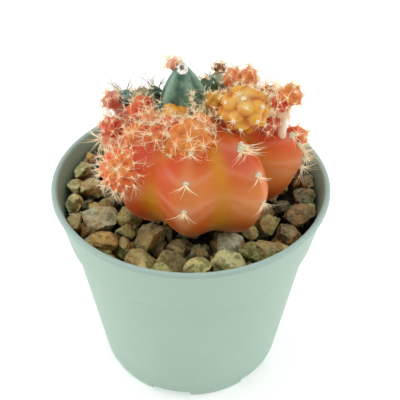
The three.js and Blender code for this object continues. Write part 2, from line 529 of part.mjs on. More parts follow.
function makePlant(pot) {
  const plant = new THREE.Group();
  const body = solidOf(bodyGeometry());
  const grownBody = solidOf(bodyGeometry(GAP));
  const gravel = makeGravel(grownBody);
  const heads = OFFSETS.map((offset) => {
    const place = placeOf(offset);
    const geometry = offsetGeometry(offset, place.reach);
    const growth = 1 + (HEAD.clearance * GAP) / Math.min(offset.radius, offset.rise);
    const grown = solidOf(geometry.clone().scale(growth, growth, growth).applyMatrix4(place.matrix));
    return { offset, place, solid: solidOf(geometry.applyMatrix4(place.matrix)), grown };
  });
  const grownHeads = heads.map((head) => head.grown);
  const around = [pot, gravel];
  const bodyNeedles = needlesOfBody([...grownHeads, ...around]);
  const spines = [...bodyNeedles];
  plant.add(named("body", geometryOf(biggest(wasm.Manifold.union([body, ...bodyNeedles]))), skin("#d0653a")));
  const random = randomFrom(HEAD.seed);
  heads.forEach(({ offset, place, solid }, index) => {
    const earlier = wasm.Manifold.union([grownBody, ...grownHeads.slice(0, index)]);
    const seated = biggest(solid.subtract(earlier));
    const others = grownHeads.filter((_, other) => other !== index);
    const needles = needlesOfOffset(offset, place, [grownBody, ...others, ...around, ...spines], random);
    spines.push(...needles);
    const whole = biggest(wasm.Manifold.union([seated, ...needles]));
    const local = geometryOf(whole).applyMatrix4(place.matrix.clone().invert());
    const head = named(offset.name, local, skin(offset.colour));
    head.position.copy(place.middle);
    head.quaternion.copy(place.turn);
    plant.add(head);
  });
  return { plant, gravel };
}

// The whole
const cactus = new THREE.Group();
const pot = makePot();
const { plant, gravel } = makePlant(pot);
const holder = new THREE.Group();
holder.add(named("pot", geometryOf(pot), plastic("#a9c4b4")));
holder.add(named("soil", geometryOf(makeSoil()), stony("#3b2c22")));
holder.add(named("gravel", geometryOf(gravel), stony("#8f7a5c")));
cactus.add(holder, plant);

export default cactus;
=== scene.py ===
# %% [markdown]
# # A potted moon cactus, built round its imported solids
# A moon cactus is a ribbed globe with hardly any green in its skin, so it shows the red, orange and yellow
# that a green plant hides. Old ones crowd their crown with offsets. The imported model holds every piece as
# a plain solid. The lesson loads those solids, which never move, and stands a finer piece on each.

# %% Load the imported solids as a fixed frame
import json
import math
import random

import bmesh
import bpy
import numpy as np
from mathutils import Matrix, Vector, noise

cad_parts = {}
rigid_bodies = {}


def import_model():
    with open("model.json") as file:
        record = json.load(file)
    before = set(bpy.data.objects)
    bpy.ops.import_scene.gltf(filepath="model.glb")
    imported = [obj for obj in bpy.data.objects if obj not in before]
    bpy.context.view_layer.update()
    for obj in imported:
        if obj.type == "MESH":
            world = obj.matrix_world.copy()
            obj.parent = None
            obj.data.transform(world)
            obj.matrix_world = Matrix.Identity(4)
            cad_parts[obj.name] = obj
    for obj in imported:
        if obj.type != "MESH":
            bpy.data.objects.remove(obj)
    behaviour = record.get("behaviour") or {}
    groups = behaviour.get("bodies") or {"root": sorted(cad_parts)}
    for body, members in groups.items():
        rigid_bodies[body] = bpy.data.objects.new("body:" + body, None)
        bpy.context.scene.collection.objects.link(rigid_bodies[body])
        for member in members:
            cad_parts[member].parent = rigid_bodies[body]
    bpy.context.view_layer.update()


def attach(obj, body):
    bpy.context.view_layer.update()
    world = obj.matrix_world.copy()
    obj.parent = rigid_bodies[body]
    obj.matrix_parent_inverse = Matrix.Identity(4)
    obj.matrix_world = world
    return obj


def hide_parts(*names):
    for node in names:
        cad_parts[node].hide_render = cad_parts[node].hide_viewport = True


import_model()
MM = 0.001

# %% [markdown]
# ## The camera
# The picture was taken from above the rim, about forty degrees down, with a lens that hardly widens. The
# camera comes first, so that every later step can be looked at from the same place. Its small shift moves
# the picture sideways without turning the camera, so upright lines stay upright.

# %% Place the camera
CAMERA = {"place": (0, -183.971, 213.9), "degrees_below_level": 39.808, "lens_mm": 68.63, "shift": 0.023,
          "nearest": 10}

camera_data = bpy.data.cameras.new("camera")
camera_data.lens = CAMERA["lens_mm"]
camera_data.shift_x = CAMERA["shift"]
camera_data.clip_start = CAMERA["nearest"] * MM
camera = bpy.data.objects.new("camera", camera_data)
camera.location = Vector(CAMERA["place"]) * MM
camera.rotation_euler = (math.radians(90 - CAMERA["degrees_below_level"]), 0, 0)
bpy.context.scene.collection.objects.link(camera)
bpy.context.scene.camera = camera
print("camera stands", round(camera.location.length, 3), "m from the middle of the pot's foot")

# %% [markdown]
# ## Helpers for meshes
# Most pieces here are skins whose points follow a formula: a ring of points for each height, closed by a
# point at the top and one at the bottom. One helper makes the faces of such a skin, and another puts a
# finished mesh in the scene. Sizes are in millimetres until the mesh is made.

# %% Helpers for meshes
def smooth(values, low, high):
    """0 below one value and 1 above another, with a soft slope between them."""
    share = np.clip((np.asarray(values, float) - low) / (high - low), 0, 1)
    return share * share * (3 - 2 * share)


def blend(first, second, share):
    """The first value at share 0, the second at share 1."""
    return first + (second - first) * share


def fractal(place, rule, shift=Vector((0, 0, 0))):
    """Noise at a place, with the scale, roughness, lacunarity and octaves of a rule."""
    return noise.fractal(Vector(place) * rule["scale"] + shift, rule["roughness"], rule["lacunarity"],
                         rule["octaves"])


def ring_faces(rings, columns):
    """Faces between rings of points that run from the top down, with a pole before and after them."""
    last = rings * columns + 1
    faces = []
    for step in range(columns):
        after = (step + 1) % columns
        faces.append((0, 1 + step, 1 + after))
        for ring in range(rings - 1):
            upper, lower = 1 + ring * columns, 1 + (ring + 1) * columns
            faces.append((upper + step, lower + step, lower + after, upper + after))
        bottom = 1 + (rings - 1) * columns
        faces.append((bottom + step, last, bottom + after))
    return faces


def new_object(name, points_mm, faces=()):
    """An object in the scene, from points in millimetres."""
    mesh = bpy.data.meshes.new(name)
    mesh.from_pydata((np.asarray(points_mm) * MM).tolist(), [], list(faces))
    mesh.update()
    if faces:
        mesh.shade_smooth()
    made = bpy.data.objects.new(name, mesh)
    bpy.context.scene.collection.objects.link(made)
    return made


def keep_on_points(made, **values):
    """Stores numbers, vectors or colours on the points of a mesh, for nodes to read by name."""
    kinds = {1: ("FLOAT", "value"), 3: ("FLOAT_VECTOR", "vector"), 4: ("FLOAT_COLOR", "color")}
    count = len(made.data.vertices)
    for title, value in values.items():
        array = np.asarray(value, np.float32).reshape(count, -1)
        kind, field = kinds[array.shape[1]]
        made.data.attributes.new(title, kind, "POINT").data.foreach_set(field, array.ravel())


def finish_piece(piece, node):
    """Rides a piece on the body, in the place of a solid, which it hides."""
    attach(piece, "root")
    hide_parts(node)


print("helpers are ready")

# %% [markdown]
# ## Helpers for nodes
# A material and a Geometry Nodes tree are both graphs of nodes. Typing out each link hides what a graph
# does, so these helpers add a node and fill its sockets in one line. A socket takes either a plain value or
# the output of another node. Colours are written as they look on a screen and turned into linear light.
# Paint is built up in layers, as on a real model: a layer of colour goes over the paint wherever a mask is.

# %% Helpers for nodes
def colour(code):
    """Linear light of a colour written as six hexadecimal digits, by the usual curve of a screen."""
    parts = [int(code[place:place + 2], 16) / 255 for place in (1, 3, 5)]
    light = [part / 12.92 if part <= 0.04045 else ((part + 0.055) / 1.055) ** 2.4 for part in parts]
    return (*light, 1)


def add(tree, kind, sockets=None, **settings):
    """A new node with its sockets filled, each by a value or by another node's output."""
    node = tree.nodes.new(kind)
    for title, value in settings.items():
        setattr(node, title, value)
    for key, value in (sockets or {}).items():
        if isinstance(value, bpy.types.NodeSocket):
            tree.links.new(value, node.inputs[key])
        else:
            node.inputs[key].default_value = value
    return node


def calculate(tree, operation, *values):
    """The outcome of one sum, product or other operation on values."""
    return add(tree, "ShaderNodeMath", dict(enumerate(values)), operation=operation).outputs[0]


def mixed(tree, share, first, second, blend_type="MIX"):
    """The first colour at share 0, the second at share 1."""
    sockets = {0: share, 6: first, 7: second}
    node = add(tree, "ShaderNodeMix", sockets, data_type="RGBA", blend_type=blend_type, clamp_factor=True)
    return node.outputs[2]


def ranged(tree, value, from_low, from_high, to_low=0.0, to_high=1.0):
    """Carries a value softly from one range to another, and no further."""
    sockets = {"Value": value, 1: from_low, 2: from_high, 3: to_low, 4: to_high}
    return add(tree, "ShaderNodeMapRange", sockets, interpolation_type="SMOOTHSTEP").outputs[0]


def over(tree, paint, mask, share, code):
    """Paint under a layer of colour, where a mask is and at most to the share."""
    return mixed(tree, calculate(tree, "MULTIPLY", mask, share), paint, colour(code))


def over_span(tree, paint, value, span, shares, code, unit=1):
    """Paint under a layer of colour whose share goes from one to the other as a value crosses a span."""
    share = ranged(tree, value, span[0] * unit, span[1] * unit, *shares)
    return mixed(tree, share, paint, colour(code))


def along_z(tree, vector):
    """How far a vector goes along Z."""
    return add(tree, "ShaderNodeSeparateXYZ", {0: vector}).outputs["Z"]


def stored(tree, title, output="Fac"):
    """What a mesh keeps on its points under a title."""
    return add(tree, "ShaderNodeAttribute", attribute_name=title).outputs[output]


def new_group(title, inputs, outputs):
    """A shader node group with the named sockets, and its two end nodes."""
    group = bpy.data.node_groups.new(title, "ShaderNodeTree")
    for name, value in inputs.items():
        kind = "NodeSocketVector" if value is None else "NodeSocketFloat"
        socket = group.interface.new_socket(name, in_out="INPUT", socket_type=kind)
        if value is not None:
            socket.default_value = value
    for name in outputs:
        group.interface.new_socket(name, in_out="OUTPUT", socket_type="NodeSocketFloat")
    return group, add(group, "NodeGroupInput"), add(group, "NodeGroupOutput")


def new_material(title, **plain):
    """A material whose shader has the given plain values, with its tree, shader and object coordinates."""
    material = bpy.data.materials.new(title)
    material.use_nodes = True
    tree = material.node_tree
    shader = tree.nodes["Principled BSDF"]
    for name, value in plain.items():
        shader.inputs[name.replace("_", " ").title().replace("Ior", "IOR")].default_value = value
    place = add(tree, "ShaderNodeTexCoord").outputs["Object"]
    return material, tree, shader, place


def paint_on(tree, shader, paint, *names):
    """Links paint to the shader's base colour and to any other inputs named."""
    for name in ("Base Color", *names):
        tree.links.new(paint, shader.inputs[name])


def bumped(tree, shader, height, strength, depth):
    """Lets a height tilt the light on a surface, as a relief that many millimetres deep would."""
    sockets = {"Height": height, "Strength": strength, "Distance": depth * MM}
    bump = add(tree, "ShaderNodeBump", sockets)
    tree.links.new(bump.outputs["Normal"], shader.inputs["Normal"])


print("node helpers are ready")

# %% [markdown]
# ## Surface effects that several finishes share
# Skin, stone and plastic differ in colour, but each needs soft patches, fine specks and a small relief at
# its own scale. One node group makes all three from noises, with the scales as its named inputs, and every
# material places it with its own values. The group gives out only masks and a height, so that each material
# keeps its own shader. Each finish below starts with a table of its values. A layer of paint is listed there
# by its share and colour, or by the span of a value, the shares at both ends of the span and the colour.

# %% Grain: soft patches, fine specks and a small relief
GRAIN_SCALES = {"Patch scale": 100.0, "Speck scale": 1500.0, "Relief scale": 2500.0}
GRAIN_NOISES = {
    "Patches": {"scale": "Patch scale", "detail": 3.0, "roughness": 0.55, "edge": (0.35, 0.65)},
    "Specks": {"scale": "Speck scale", "detail": 1.0, "roughness": 0.5, "edge": (0.6, 0.72)},
    "Height": {"scale": "Relief scale", "detail": 4.0, "roughness": 0.6, "edge": None},
}


def make_grain():
    group, start, end = new_group("Grain", {"Place": None, **GRAIN_SCALES}, GRAIN_NOISES)
    for title, rule in GRAIN_NOISES.items():
        cloud = add(group, "ShaderNodeTexNoise",
                    {"Vector": start.outputs["Place"], "Scale": start.outputs[rule["scale"]],
                     "Detail": rule["detail"], "Roughness": rule["roughness"]}).outputs["Fac"]
        if rule["edge"]:
            cloud = ranged(group, cloud, *rule["edge"])
        group.links.new(cloud, end.inputs[title])
    return group


grain = make_grain()


def grained(tree, place, scales):
    """The outputs of the grain at a material's own scales, in waves to the metre."""
    sockets = {"Place": place, **dict(zip(GRAIN_SCALES, scales))}
    return add(tree, "ShaderNodeGroup", sockets, node_tree=grain).outputs


def patchy(tree, parts, codes):
    """Two colours that give way to each other in the grain's soft patches."""
    return mixed(tree, parts["Patches"], *[colour(code) for code in codes])


def worn(tree, shader, parts, smoothest, roughest):
    """Gives the shader a roughness that changes with the grain's patches."""
    tree.links.new(ranged(tree, parts["Patches"], 0.0, 1.0, smoothest, roughest), shader.inputs["Roughness"])


print("shared effect:", grain.name, "with", list(GRAIN_NOISES))

# %% [markdown]
# ## The pot
# The pot is a thin moulded shell: a rounded lip, a deep collar that steps in, a tapered wall and a ring
# foot with notches that let water out. Turning one outline round an axis makes all of it, because the real
# mould is turned too. Each corner of the outline is rounded first, since no mould leaves a knife edge.

# %% Turn the pot from a rounded outline
POT_HEIGHT = 69.7
RIM_RADIUS = 42.5
LIP = {"width": 2.0, "height": 1.7, "overhang": 0.7, "top_bevel": 0.5, "inner_bevel": 0.8, "outer_bevel": 0.6,
       "under_bevel": 0.3}
COLLAR = {"foot_radius": 38.8, "foot_z": 52.5}
WALL = {"top_radius": 37.3, "top_z": 50.2, "foot_radius": 30.4, "foot_z": 2.6, "thickness": 1.5}
FOOT = {"outer_radius": 29.4, "inner_radius": 26.6, "rise": 2.6, "floor": 1.6, "lean": 0.6}
NOTCH = {"count": 6, "first": -13, "degrees": 26, "height": 2.8, "cutter_length": 8.4}
DRAIN = {"holes": 6, "radius": 2.6, "ring_radius": 17, "sides": 32}
POT_SIDES = 240
ARC = {"steps": 5, "largest_share": 0.45}
LIP_INNER = RIM_RADIUS - LIP["width"]
COLLAR_INNER = COLLAR["foot_radius"] - WALL["thickness"]
WALL_INNER = WALL["top_radius"] - WALL["thickness"]
FLOOR_Z = FOOT["rise"] + FOOT["floor"]


def inner_radius(z):
    """Radius of the pot's inner wall at a height."""
    foot_inner = WALL["foot_radius"] - WALL["thickness"]
    heights = [WALL["foot_z"], WALL["top_z"], COLLAR["foot_z"], POT_HEIGHT]
    return np.interp(z, heights, [foot_inner, WALL_INNER, COLLAR_INNER, LIP_INNER])


def rounded(outline):
    """An outline of (radius, height, rounding) corners with each corner drawn as a small arc."""
    corners = [np.array(corner[:2], float) for corner in outline]
    points = [corners[0]]
    for number in range(1, len(corners) - 1):
        corner = corners[number]
        arms = [corners[number - 1] - corner, corners[number + 1] - corner]
        cut = min([outline[number][2]] + [np.linalg.norm(arm) * ARC["largest_share"] for arm in arms])
        start, stop = [corner + arm / np.linalg.norm(arm) * cut for arm in arms]
        for share in np.linspace(0, 1, ARC["steps"]):
            points.append(blend(blend(start, corner, share), blend(corner, stop, share), share))
    points.append(corners[-1])
    return points


def turned(name, outline):
    """A closed piece turned round Z from an outline that starts and ends on the axis."""
    points = rounded(outline)
    angles = np.arange(POT_SIDES) * 2 * math.pi / POT_SIDES
    rings = [[(radius * math.cos(a), radius * math.sin(a), z) for a in angles] for radius, z in points[1:-1]]
    ends = [(0, 0, points[0][1]), (0, 0, points[-1][1])]
    return new_object(name, [ends[0], *sum(rings, []), ends[1]], ring_faces(len(rings), POT_SIDES))


POT_OUTLINE = [
    (0, FLOOR_Z, 0),
    (float(inner_radius(FLOOR_Z)), FLOOR_Z, 1.2),
    (WALL_INNER, WALL["top_z"], 0.8),
    (COLLAR_INNER, COLLAR["foot_z"], 0.8),
    (LIP_INNER, POT_HEIGHT - LIP["inner_bevel"], 0.5),
    (LIP_INNER + LIP["top_bevel"], POT_HEIGHT, 0.4),
    (RIM_RADIUS - LIP["top_bevel"], POT_HEIGHT, 0.5),
    (RIM_RADIUS, POT_HEIGHT - LIP["outer_bevel"], 0.5),
    (RIM_RADIUS, POT_HEIGHT - LIP["height"] + LIP["under_bevel"], 0.4),
    (RIM_RADIUS - LIP["overhang"], POT_HEIGHT - LIP["height"], 0.3),
    (COLLAR["foot_radius"], COLLAR["foot_z"], 1.2),
    (WALL["top_radius"], WALL["top_z"], 1.2),
    (WALL["foot_radius"], WALL["foot_z"], 1.2),
    (FOOT["outer_radius"], 0, 0.5),
    (FOOT["inner_radius"], 0, 0.3),
    (FOOT["inner_radius"] - FOOT["lean"], FOOT["rise"], 0.4),
    (0, FOOT["rise"], 0),
]
pot = turned("pot_shell", POT_OUTLINE)
print("pot faces before its holes:", len(pot.data.polygons))

# %% [markdown]
# ## Notches and drain holes
# Six shallow notches cut the ring foot and six round holes go through the floor. A Boolean takes them away
# in one step, from one cutter mesh that holds all twelve shapes. The modifier is applied at once, because
# an exported piece has to be a plain mesh.

# %% Cut the notches and the drain holes
SHARP_DEGREES = 35
INSIDE = {"past_wall": 0.25, "under_floor": 0.1}


def apply_modifiers(piece):
    """Turns a piece with modifiers, or with a node tree, into a plain mesh of what they make."""
    depsgraph = bpy.context.evaluated_depsgraph_get()
    mesh = bpy.data.meshes.new_from_object(piece.evaluated_get(depsgraph), depsgraph=depsgraph)
    piece.modifiers.clear()
    piece.data = mesh


def pot_cutters():
    cutters = bmesh.new()
    width = 2 * FOOT["outer_radius"] * math.sin(math.radians(NOTCH["degrees"] / 2))
    for notch in range(NOTCH["count"]):
        turn = Matrix.Rotation(math.radians(NOTCH["first"] + notch * 360 / NOTCH["count"]), 4, "Z")
        size = Matrix.Diagonal((width, NOTCH["cutter_length"], 2 * NOTCH["height"], 1))
        shift = Matrix.Translation((0, -FOOT["outer_radius"], 0))
        bmesh.ops.create_cube(cutters, size=1, matrix=turn @ shift @ size)
    for hole in range(DRAIN["holes"]):
        turn = Matrix.Rotation(hole * 2 * math.pi / DRAIN["holes"], 4, "Z")
        shift = Matrix.Translation((0, DRAIN["ring_radius"], FOOT["rise"] + FOOT["floor"] / 2))
        bmesh.ops.create_cone(cutters, cap_ends=True, segments=DRAIN["sides"], radius1=DRAIN["radius"],
                              radius2=DRAIN["radius"], depth=2 * FLOOR_Z, matrix=turn @ shift)
    bmesh.ops.scale(cutters, vec=(MM, MM, MM), verts=cutters.verts)
    mesh = bpy.data.meshes.new("cutters")
    cutters.to_mesh(mesh)
    cutters.free()
    made = bpy.data.objects.new("cutters", mesh)
    bpy.context.scene.collection.objects.link(made)
    return made


def inner_side(piece):
    """1 at the points on the pot's inner side and 0 at the others."""
    places = np.array([corner.co for corner in piece.data.vertices]) / MM
    within = np.hypot(places[:, 0], places[:, 1]) < inner_radius(places[:, 2]) + INSIDE["past_wall"]
    return within & (places[:, 2] > FLOOR_Z - INSIDE["under_floor"])


cutters = pot_cutters()
cut = pot.modifiers.new("notches and drains", "BOOLEAN")
cut.object = cutters
cut.solver = "EXACT"
apply_modifiers(pot)
bpy.data.objects.remove(cutters)
pot.data.set_sharp_from_angle(angle=math.radians(SHARP_DEGREES))
keep_on_points(pot, inside=inner_side(pot))
finish_piece(pot, "pot")
print("pot faces:", len(pot.data.polygons))

# %% [markdown]
# ## The pot's plastic
# The plastic is a pale grey-green polypropylene, dull all over and a little bluer on the lip. The step under
# the collar gets a darker band of painted shade, and inside, painted shade darkens the wall towards the
# gravel.
# Height picks out the lip and the step, and a mask stored on the points tells the inside from the outside. A
# faint relief breaks the shine.

# %% The pot's plastic
PLASTIC = {
    "ior": 1.46, "grain": (45.0, 900.0, 1600.0), "patches": ("#a4bdab", "#a9c3b2"),
    # The darker colour on the step is painted shade.
    "step": ((0.4, 2.2), (1.0, 0.0), "#9db5a4"),
    "lip": ((POT_HEIGHT - 0.9, POT_HEIGHT - 0.3), (0.0, 1.0), "#a8c2b8"),
    # The inside colours are painted shade: dark by the gravel, lighter towards the lip.
    "inside": ("#4c6c5c", "#9cbcb0"), "inside_shade_span": (POT_HEIGHT - 10, POT_HEIGHT - 1),
    "specks": (0.1, "#8d9b86"), "roughness": (0.46, 0.58), "relief": (0.12, 0.2),
}
STEP_MIDDLE = (COLLAR["foot_z"] + WALL["top_z"]) / 2


def pot_plastic():
    material, tree, shader, place = new_material("pale_green_plastic", ior=PLASTIC["ior"])
    parts = grained(tree, place, PLASTIC["grain"])
    z = along_z(tree, place)
    # A band of painted shade on the step under the collar.
    from_shaded_step = calculate(tree, "ABSOLUTE", calculate(tree, "SUBTRACT", z, STEP_MIDDLE * MM))
    outer = over_span(tree, patchy(tree, parts, PLASTIC["patches"]), from_shaded_step, *PLASTIC["step"], unit=MM)
    outer = over_span(tree, outer, z, *PLASTIC["lip"], unit=MM)
    # Painted shade on the inner wall, darker towards the gravel.
    depth = ranged(tree, z, *[edge * MM for edge in PLASTIC["inside_shade_span"]])
    shaded_inside = mixed(tree, depth, *[colour(code) for code in PLASTIC["inside"]])
    whole = mixed(tree, stored(tree, "inside"), outer, shaded_inside)
    paint_on(tree, shader, over(tree, whole, parts["Specks"], *PLASTIC["specks"]))
    worn(tree, shader, parts, *PLASTIC["roughness"])
    bumped(tree, shader, parts["Height"], *PLASTIC["relief"])
    return material


pot.data.materials.clear()
pot.data.materials.append(pot_plastic())
print("pot finish:", pot.data.materials[0].name)

# %% [markdown]
# ## The soil
# Dark peat fills the pot up to the gravel and shows only in the gaps between stones. It is a plug with a
# round hole for the root neck, as the solid is. Its top is roughened point by point with a noise, because
# crumbs a millimetre across catch the light where a flat sheet would not.

# %% The soil plug
GAP = 0.35
SOIL_TOP = 55.3
NECK = {"x": 2.7, "y": -1, "radius": 6.8, "top_z": 55.7, "foot_z": 46.7, "foot_share": 0.8}
SOIL = {"columns": 160, "top_rings": 40, "side_heights": (COLLAR["foot_z"], WALL["top_z"], 30)}
CRUMB = {"scale": 0.7, "height": 0.5, "roughness": 0.8, "lacunarity": 2.1, "octaves": 3}


def soil_points():
    """Points and faces of the plug, from the foot of the root neck's hole over the top to the underside."""
    angles = np.arange(SOIL["columns"]) * 2 * math.pi / SOIL["columns"]
    hole = NECK["radius"] + 2 * GAP
    hole_foot = NECK["foot_z"] - GAP
    foot_z = FLOOR_Z + GAP
    rings = [(hole / 2, hole_foot, 1), (hole, hole_foot, 1), (hole, (hole_foot + SOIL_TOP) / 2, 1)]
    rings += [(blend(hole, inner_radius(SOIL_TOP) - GAP, share), SOIL_TOP, 1 - share)
              for share in np.linspace(0, 1, SOIL["top_rings"])]
    rings += [(inner_radius(z) - GAP, z, 0) for z in (*SOIL["side_heights"], foot_z)]
    rings.append((inner_radius(foot_z) / 2, foot_z, 0))
    points = [(NECK["x"], NECK["y"], hole_foot)]
    for radius, z, centred in rings:
        for angle in angles:
            x = radius * math.cos(angle) + NECK["x"] * centred
            y = radius * math.sin(angle) + NECK["y"] * centred
            lift = CRUMB["height"] * fractal((x, y, 0), CRUMB)
            points.append((x, y, z + min(lift, GAP) * (z == SOIL_TOP)))
    points.append((0, 0, foot_z))
    return points, ring_faces(len(rings), SOIL["columns"])


soil = new_object("soil_plug", *soil_points())
finish_piece(soil, "soil")
print("soil faces:", len(soil.data.polygons))

# %% Damp peat
PEAT = {"roughness": 0.95, "grain": (260.0, 700.0, 1400.0), "patches": ("#1f1812", "#46382b"),
        "fibres": (1.0, "#7a6a50"), "relief": (0.8, 0.6)}


def damp_peat():
    material, tree, shader, place = new_material("damp_peat", roughness=PEAT["roughness"])
    parts = grained(tree, place, PEAT["grain"])
    paint_on(tree, shader, over(tree, patchy(tree, parts, PEAT["patches"]), parts["Specks"], *PEAT["fibres"]))
    bumped(tree, shader, parts["Height"], *PEAT["relief"])
    return material


soil.data.materials.append(damp_peat())
print("soil finish:", soil.data.materials[0].name)

# %% [markdown]
# ## Shapes of stones
# Gravel is broken rock that water has begun to round: flat broken faces with soft edges between them. Each
# shape starts as a fine globe. Random planes shave off what lies beyond them, which leaves the flat faces,
# and a little noise takes away their evenness. A few shapes, turned and stretched, pass for all the stones.

# %% Make a few stone shapes
STONE_SHAPES = {"fine": {"count": 10, "subdivisions": 4}, "coarse": {"count": 5, "subdivisions": 3},
                "planes": 10, "nearest": 0.42, "furthest": 0.76, "shaved": 0.97, "half": 1.1,
                "sharp_degrees": 28, "seed": 5}
PITS = {"height": 0.07, "scale": 2.4, "roughness": 0.7, "lacunarity": 2.0, "octaves": 5, "furthest": 50}


def stone_shape(name, subdivisions, draw):
    """A globe shaved by random planes and pitted by noise, then scaled to fill a cube."""
    shape = bmesh.new()
    bmesh.ops.create_icosphere(shape, subdivisions=subdivisions, radius=1)
    planes = []
    for _ in range(STONE_SHAPES["planes"]):
        facing = Vector([draw.gauss(0, 1) for _ in range(3)]).normalized()
        planes.append((facing, draw.uniform(STONE_SHAPES["nearest"], STONE_SHAPES["furthest"])))
    offset = Vector([draw.uniform(0, PITS["furthest"]) for _ in range(3)])
    for corner in shape.verts:
        for facing, far in planes:
            beyond = corner.co.dot(facing) - far
            if beyond > 0:
                corner.co -= facing * beyond * STONE_SHAPES["shaved"]
        corner.co *= 1 + PITS["height"] * fractal(corner.co, PITS, offset)
    halves = [max(abs(corner.co[axis]) for corner in shape.verts) for axis in range(3)]
    bmesh.ops.scale(shape, vec=[STONE_SHAPES["half"] / half for half in halves], verts=shape.verts)
    mesh = bpy.data.meshes.new(name)
    shape.to_mesh(mesh)
    shape.free()
    mesh.shade_smooth()
    mesh.set_sharp_from_angle(angle=math.radians(STONE_SHAPES["sharp_degrees"]))
    return bpy.data.objects.new(name, mesh)


def stone_collection(title, draw, count, subdivisions):
    """A collection of different stones, for a node tree to pick from."""
    shapes = bpy.data.collections.new(title)
    for number in range(count):
        shapes.objects.link(stone_shape(f"{title}_{number}", subdivisions, draw))
    return shapes


draw = random.Random(STONE_SHAPES["seed"])
fine_stones = stone_collection("fine_stone", draw, **STONE_SHAPES["fine"])
coarse_stones = stone_collection("coarse_stone", draw, **STONE_SHAPES["coarse"])

# %% [markdown]
# ## Where the stones lie
# The front stones keep the places and sizes that they have on the real pot, and the rest are scattered at
# random: one is kept only where it has room beside the others. The scatter follows the rule of the packed
# solid, down to its random numbers, so each fine stone lies on its plain one. Smaller stones fill the layer
# below. A row of the table gives a stone's place, half its width, half its height and its tone.

# %% Scatter the stones
STONE = {"count": 57, "tries": 6000, "smallest": 2.8, "largest": 3.9, "flatness": 0.85, "spacing": 0.95,
         "near_body": 19, "seed": 7, "levels": [60.5], "turns_seed": 3, "fuller": 1.12}
FILL = {"count": 210, "tries": 9000, "smallest": 1.6, "largest": 2.7, "flatness": 0.9, "spacing": 0.72,
        "near_body": 12, "seed": 29, "levels": [56.6, 57.1, 57.6, 58.1, 58.6], "turns_seed": 4, "fuller": 1}
STONE_TILT = 0.35
STONE_DEPTH = 0.92
BANK = {"height": 3, "from": 29, "to": 37}
TONES = {"tan": "#dcd48a", "cream": "#eceaa8", "orange": "#dfae58", "brown": "#b3a262", "dark": "#646848",
         "umber": "#75603c", "grey": "#d0dcb4", "slate": "#949c7c", "olive": "#bcbe70", "pale": "#e2ecc8"}
OTHER_TOP_TONES = ["tan", "brown", "grey", "olive", "dark", "orange", "pale", "slate"]
FILL_TONES = ["brown", "dark", "olive", "slate", "tan"]
FRONT_STONES = [
    (-35.1, 11.1, 3.3, 2.6, "cream"), (-36.6, 3, 2.6, 2.1, "cream"), (-32, 3.6, 2.9, 3.3, "cream"),
    (-35.8, -5.6, 2.5, 3, "cream"), (-24.6, -1.2, 2.7, 2.6, "dark"), (-28.2, -10.4, 6.1, 3.6, "grey"),
    (-34.4, -13.2, 2.6, 2.2, "brown"), (-29.6, -3.9, 1.9, 1.9, "tan"), (-25.4, -21.6, 3.7, 3, "orange"),
    (-20.2, -21.2, 2.3, 2.9, "tan"), (-12.6, -18.9, 5.4, 4, "brown"), (-19.4, -14.6, 2.6, 2.4, "olive"),
    (-14.6, -27.2, 3.8, 2.4, "olive"), (-5.8, -27.6, 4.3, 3.2, "brown"), (-3.6, -22.4, 3.2, 2.8, "brown"),
    (2.6, -25, 2.6, 3.6, "dark"), (10.6, -21.2, 4.4, 3.3, "pale"), (10.6, -28.4, 4, 3, "cream"),
    (17.2, -24.6, 2.7, 3, "olive"), (22.8, -23.8, 3.9, 3.1, "brown"), (23.9, -12.2, 3.4, 4.2, "olive"),
    (28.8, -18.4, 4, 3.2, "umber"), (33, -11.2, 4.5, 2.9, "umber"), (28.2, -3.6, 3.4, 2.9, "dark"),
    (34.6, -2.4, 3.7, 2.9, "dark"), (36.8, 4.4, 2.9, 2.4, "umber"), (-33.2, 17.6, 2.4, 2.6, "orange"),
    (-29.6, 22.6, 2.5, 2.6, "tan"),
]


def random_from(seed):
    """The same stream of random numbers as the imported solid's source draws."""
    state = seed
    whole = 0xFFFFFFFF
    stride = 0x6D2B79F5

    def draw_next():
        nonlocal state
        state = (state + stride) & whole
        stirred = ((state ^ (state >> 15)) * (1 | state)) & whole
        stirred = ((stirred + (((stirred ^ (stirred >> 7)) * (61 | stirred)) & whole)) & whole) ^ stirred
        return (stirred ^ (stirred >> 14)) / (whole + 1)

    return draw_next


def scatter(places, rule):
    """Adds stones at random to the places, wherever one finds room, until there are enough.

    Both layers keep inside the wall as it is at the height of the top layer.
    """
    outer = float(inner_radius(STONE["levels"][0])) - GAP
    draw_next = random_from(rule["seed"])
    for _ in range(rule["tries"]):
        if len(places) >= rule["count"]:
            break
        angle = draw_next() * 2 * math.pi
        far = outer * math.sqrt(draw_next())
        half = blend(rule["smallest"], rule["largest"], draw_next())
        x, y = far * math.cos(angle), far * math.sin(angle)
        from_body = math.hypot(x - NECK["x"], y - NECK["y"])
        free = all(math.hypot(x - other[0], y - other[1]) >= rule["spacing"] * (half + other[2])
                   for other in places)
        if from_body > rule["near_body"] and far < outer - half / 2 and free:
            places.append((x, y, half, half * rule["flatness"]))
    return places


top_stones = scatter([stone[:4] for stone in FRONT_STONES], STONE)
fill_stones = scatter([], FILL)
print("stones on top:", len(top_stones), "and below:", len(fill_stones))

# %% [markdown]
# ## Lay the stones with Geometry Nodes
# Repeating a shape on many points is what Geometry Nodes are for. The tree picks a shape for each point,
# turns it and tilts it a little at random, and stretches it to the size stored on the point. Such copies
# share one mesh, which is light to work with, but an export drops them, so the tree ends by making them
# real.

# %% The tree that lays stones
MOST_SHAPES = 1000
MOST_LEAN = (1, 1, 4)


def node_inputs(tree, wanted):
    """Adds the named inputs, a geometry input and output to a node tree, and gives its two end nodes."""
    tree.interface.new_socket("Geometry", in_out="INPUT", socket_type="NodeSocketGeometry")
    for title, kind in wanted.items():
        tree.interface.new_socket(title, in_out="INPUT", socket_type="NodeSocket" + kind)
    tree.interface.new_socket("Geometry", in_out="OUTPUT", socket_type="NodeSocketGeometry")
    return add(tree, "NodeGroupInput"), add(tree, "NodeGroupOutput")


